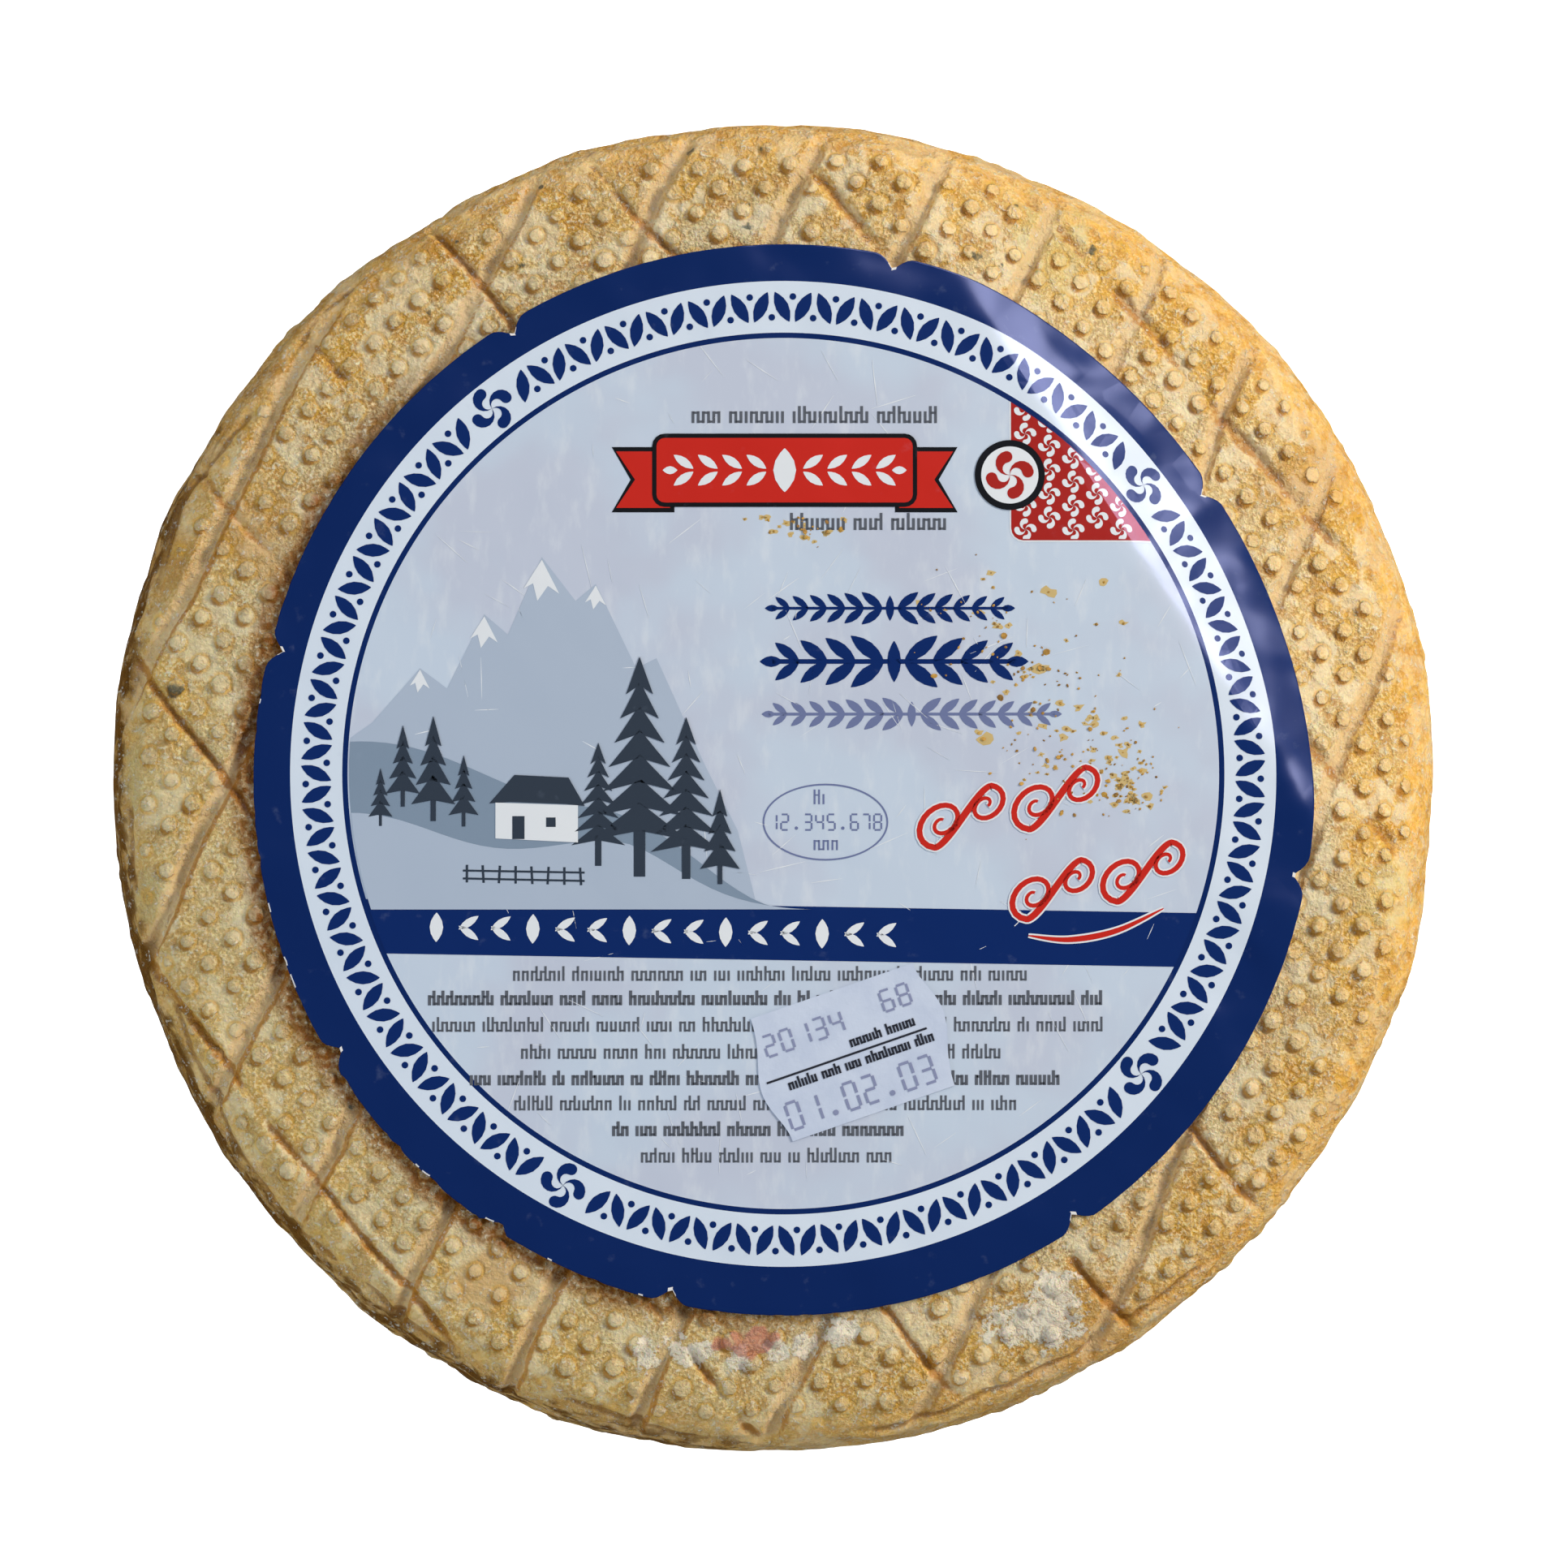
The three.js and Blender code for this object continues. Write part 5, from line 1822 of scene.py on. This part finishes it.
@dataclass
class DateSticker:
    """A small sticker of thin thermal paper, with wavy cut ends and faint plain digits."""

    lie: PaperLie
    width: float = 25.3
    depth: float = 19.1
    wave: float = 1.9
    centre: Point = (11.0, -39.8)
    turn: float = 19.0
    bottom: float = 0.06
    thickness: float = 0.1

    def build(self) -> None:
        """Builds the sticker and its print."""
        bm = bmesh.new()
        bmesh.ops.create_grid(bm, x_segments=36, y_segments=28, size=0.5)
        spin = Matrix.Rotation(math.radians(self.turn), 2)
        raised = bmesh.ops.extrude_face_region(bm, geom=bm.faces[:], use_keep_orig=True)["geom"]
        move(bm, raised, 1.0)
        bmesh.ops.recalc_face_normals(bm, faces=bm.faces)
        co = points_of(bm)
        share = 0.5 - co[:, 1] * np.sign(co[:, 0])
        swell = self.wave * np.sin(math.pi * share) ** 2 * (1 + 0.5 * np.cos(math.pi * share))
        x = co[:, 0] * (self.width + 4 * swell * np.abs(co[:, 0]))
        y = co[:, 1] * self.depth
        placed = np.array(spin) @ np.stack([x, y]) + np.array(self.centre)[:, None]
        curl = 0.05 * smooth(np.hypot(co[:, 0], co[:, 1]), 0.45, 0.7)
        lift = self.bottom + self.thickness * (co[:, 2] > 0.5) + curl
        place_points(bm, self.lie.place(placed.T, lift))
        deliver(to_object(bm, "sticker", [StickerPaper().build()]), "sticker_paper", "date_sticker")
        self.print_face()

    def spot(self, x: float, y: float) -> Point:
        """A place on the sticker, on the label."""
        cos, sin = heading(self.turn)
        return self.centre[0] + x * cos - y * sin, self.centre[1] + x * sin + y * cos

    def ink(self, name: str, colour: str) -> Ink:
        """Starts a film of ink on the sticker's face."""
        face = self.bottom + self.thickness + 0.045
        return Ink(self.lie, CoatedPaper(name, colour, roughness=0.45), 2, film=0.02, level_step=face)

    def print_face(self) -> None:
        """Prints a rule, two bold lines of small print and faint digits."""
        black, draw = self.ink("thermal_print_black", "#20242e"), random.Random(9)
        black.bar(*self.spot(-1.0, -0.2), 25.0, 0.32, self.turn)
        at = black.at(*self.centre, self.turn)
        black.small_print(0.2, 10.0, 1.3, 1.15, 0.33, draw, at)
        black.small_print(-10.4, 12.0, -1.75, 1.15, 0.33, draw, at)
        black.build("sticker_rule", "sticker_paper")
        faint = self.ink("thermal_print_faint", "#8790b4")
        small, large = (3.1, 2.6, 0.36), (4.0, 2.95, 0.42)
        rows = (("20134", -6.0, 4.9, small), ("68", 8.6, 5.6, small), ("01.02.03", -0.8, -6.0, large))
        for digits, x, y, size in rows:
            row_of_digits(faint, digits, *self.spot(x, y), *size, self.turn)
        faint.build("sticker_digits", "sticker_paper")


@dataclass
class Crumbs:
    """Ochre flakes of rind rubbed off on to the label's right side, and the stains they left."""

    lie: PaperLie
    count: int = 300
    seed: int = 23
    # Middle of a cluster, its spread and its share of the crumbs
    clusters: tuple[tuple[Point, Point, float], ...] = (
        ((52.0, -0.3), (2.0, 2.4), 0.22),
        ((46.0, 4.0), (6.0, 4.5), 0.3),
        ((38.5, 14.0), (5.5, 7.0), 0.3),
        ((28.0, 24.0), (5.0, 5.0), 0.08),
        ((3.6, 37.6), (2.6, 1.4), 0.1),
    )

    def build(self) -> None:
        """Builds the crumbs and the stains, each as one joined piece."""
        draw = random.Random(self.seed)
        bm = bmesh.new()
        stains = Ink(self.lie, CoatedPaper("fat_stain_on_paper", "#cbb272", roughness=0.5), film=0.02)
        for (x, y), (wide, high), share in self.clusters:
            for _ in range(round(self.count * share)):
                size = draw.uniform(0.1, 0.3) * (2.2 if draw.random() < 0.12 else 1.0)
                at_x, at_y = draw.gauss(x, wide), draw.gauss(y, high)
                place = self.lie.place(np.array([[at_x, at_y]]), 0.05)[0]
                lean = draw.uniform(-0.3, 0.3), draw.uniform(-0.3, 0.3), draw.uniform(0, 6.3)
                scale = Matrix.Diagonal((size, size * draw.uniform(0.5, 1.0), min(size * 0.3, 0.09), 1.0))
                laid = Matrix.Translation(place) @ Euler(lean).to_matrix().to_4x4() @ scale
                bmesh.ops.create_icosphere(bm, subdivisions=1, radius=1.0, matrix=laid)
                if draw.random() < 0.45:
                    self.stain_and_painted_shadow(stains, draw, at_x, at_y)
        deliver(to_object(bm, "rubbed_crumbs", [CrumbFinish().build()]), "rind")
        stains.build("fat_stains")

    @staticmethod
    def stain_and_painted_shadow(ink: Ink, draw: random.Random, x: float, y: float) -> None:
        """Adds a ragged little stain."""
        size = draw.uniform(0.3, 1.0) * (1.7 if draw.random() < 0.15 else 1.0)
        turn = draw.uniform(0, FULL_TURN)
        points = []
        for k in range(9):
            around = FULL_TURN * k / 9
            reach = size * draw.uniform(0.35, 1.0)
            points.append((x + reach * math.cos(around + turn), y + 0.7 * reach * math.sin(around + turn)))
        ink.outline(points)


# --- The studio ---


@dataclass(frozen=True)
class SoftLight:
    """A rectangular soft light that faces the wheel."""

    name: str
    direction: float
    elevation: float
    distance: float
    width: float
    height: float
    power: float
    colour: str
    lights: bool = True
    mirrored: bool = True

    def build(self, target: Vector) -> None:
        """Hangs the light so that it faces the target."""
        data = bpy.data.lights.new(self.name, "AREA")
        data.shape = "RECTANGLE"
        data.size, data.size_y = self.width, self.height
        data.energy = self.power
        data.color = linear(self.colour)[:3]
        lamp = bpy.data.objects.new(self.name, data)
        lamp.visible_diffuse = self.lights
        lamp.visible_glossy = self.mirrored
        flat, rise = heading(self.elevation)
        out = Vector((*heading(self.direction, flat), rise))
        lamp.location = target + out * self.distance
        lamp.rotation_euler = out.to_track_quat("Z", "Y").to_euler()
        bpy.context.scene.collection.objects.link(lamp)


@dataclass
class Studio:
    """A pale floor, soft lights and the camera above the wheel."""

    camera_place: tuple[float, float, float] = (-3.21, -20.7, 730.8)
    camera_tilt: tuple[float, float, float] = (1.81, -0.36, -0.03)
    lens: float = 100.9
    floor_size: float = 6.0
    lights: tuple[SoftLight, ...] = (
        SoftLight("window", 25.0, 28.0, 1.1, 0.4, 0.28, 11.1, "#fff4e4", mirrored=False),
        SoftLight("sky_panel", 54.5, 46.0, 1.1, 0.64, 0.6, 13.5, "#d3d6ff", lights=False),
        SoftLight("wall_left", 200.0, 22.0, 0.6, 0.5, 0.3, 1.35, "#e8f5ff", mirrored=False),
        SoftLight("wall_far", 95.0, 24.0, 0.8, 0.5, 0.3, 0.95, "#fff6e8", mirrored=False),
        SoftLight("wall_right", 298.0, 24.0, 1.3, 0.8, 0.5, 2.0, "#fffaf2", mirrored=False),
    )

    def build(self) -> None:
        """Sets up the floor, the surroundings, the lights and the camera."""
        low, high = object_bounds()
        target = Vector(((low[0] + high[0]) / 2, (low[1] + high[1]) / 2, high[2] * 0.8))
        for light in self.lights:
            light.build(target)
        self.lay_floor(low[2])
        self.light_surroundings()
        self.place_camera()

    def lay_floor(self, height: float) -> None:
        """Lays a plain pale floor under the wheel."""
        bm = bmesh.new()
        bmesh.ops.create_grid(bm, x_segments=2, y_segments=2, size=self.floor_size / 2 / MM)
        bmesh.ops.translate(bm, vec=(0, 0, height / MM), verts=bm.verts)
        r = Recipe("pale_studio_floor")
        pale = r.over("#f4f4f4", "#efefef", r.speckle(400.0, 0.3, 0.7))
        plain = r.dress(Base_Color=pale, Roughness=0.9, Emission_Color="#ffffff", Emission_Strength=1.0)
        floor = to_object(bm, "floor", [plain])
        # The floor is seen, and it throws no light back up on the rim
        floor.visible_diffuse = False
        floor.visible_glossy = False
        floor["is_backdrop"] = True

    def light_surroundings(self) -> None:
        """Pale surroundings to the eye, and a dim even light for the wheel."""
        world = bpy.data.worlds.new("studio")
        world.use_nodes = True
        bpy.context.scene.world = world
        tree = world.node_tree
        path = add_node(tree, "ShaderNodeLightPath")
        diffuse = path.node.outputs["Is Diffuse Ray"]
        dim = add_node(tree, "ShaderNodeMapRange", {}, {"Value": diffuse, "To Min": 0.05, "To Max": 0.34})
        strength = add_node(tree, "ShaderNodeMath", {"operation": "MAXIMUM"}, {0: path, 1: dim})
        tree.nodes["Background"].inputs["Color"].default_value = (0.93, 0.95, 1.0, 1.0)
        tree.links.new(strength, tree.nodes["Background"].inputs["Strength"])

    def place_camera(self) -> None:
        """Hangs the camera above the wheel, a little out of plumb."""
        data = bpy.data.cameras.new("camera")
        data.sensor_width = 36.0
        data.lens = self.lens
        data.clip_start, data.clip_end = 0.01, 20.0
        camera = bpy.data.objects.new("camera", data)
        turns = [math.radians(t) for t in self.camera_tilt]
        rotation = Matrix.Rotation(turns[1], 4, "Y") @ Matrix.Rotation(turns[0], 4, "X")
        rotation = rotation @ Matrix.Rotation(turns[2], 4, "Z")
        camera.matrix_world = Matrix.Translation(Vector(self.camera_place) * MM) @ rotation
        bpy.context.scene.collection.objects.link(camera)
        bpy.context.scene.camera = camera
        bpy.context.scene.view_settings.view_transform = "Standard"


def main() -> None:
    """Builds the wheel piece by piece round the frame."""
    logging.basicConfig(level=logging.INFO, format="%(name)s: %(message)s")
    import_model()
    form = WheelForm()
    label_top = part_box("paper_label")[1].z / MM
    lie = PaperLie(form, face=label_top - 0.08)  # room for the ink inside the label's solid
    Rind(form).build()
    label = Label(lie)
    label.build()
    LabelPrint(lie, label).build()
    DateSticker(lie).build()
    Crumbs(lie).build()
    Studio().build()


if __name__ == "__main__":
    main()
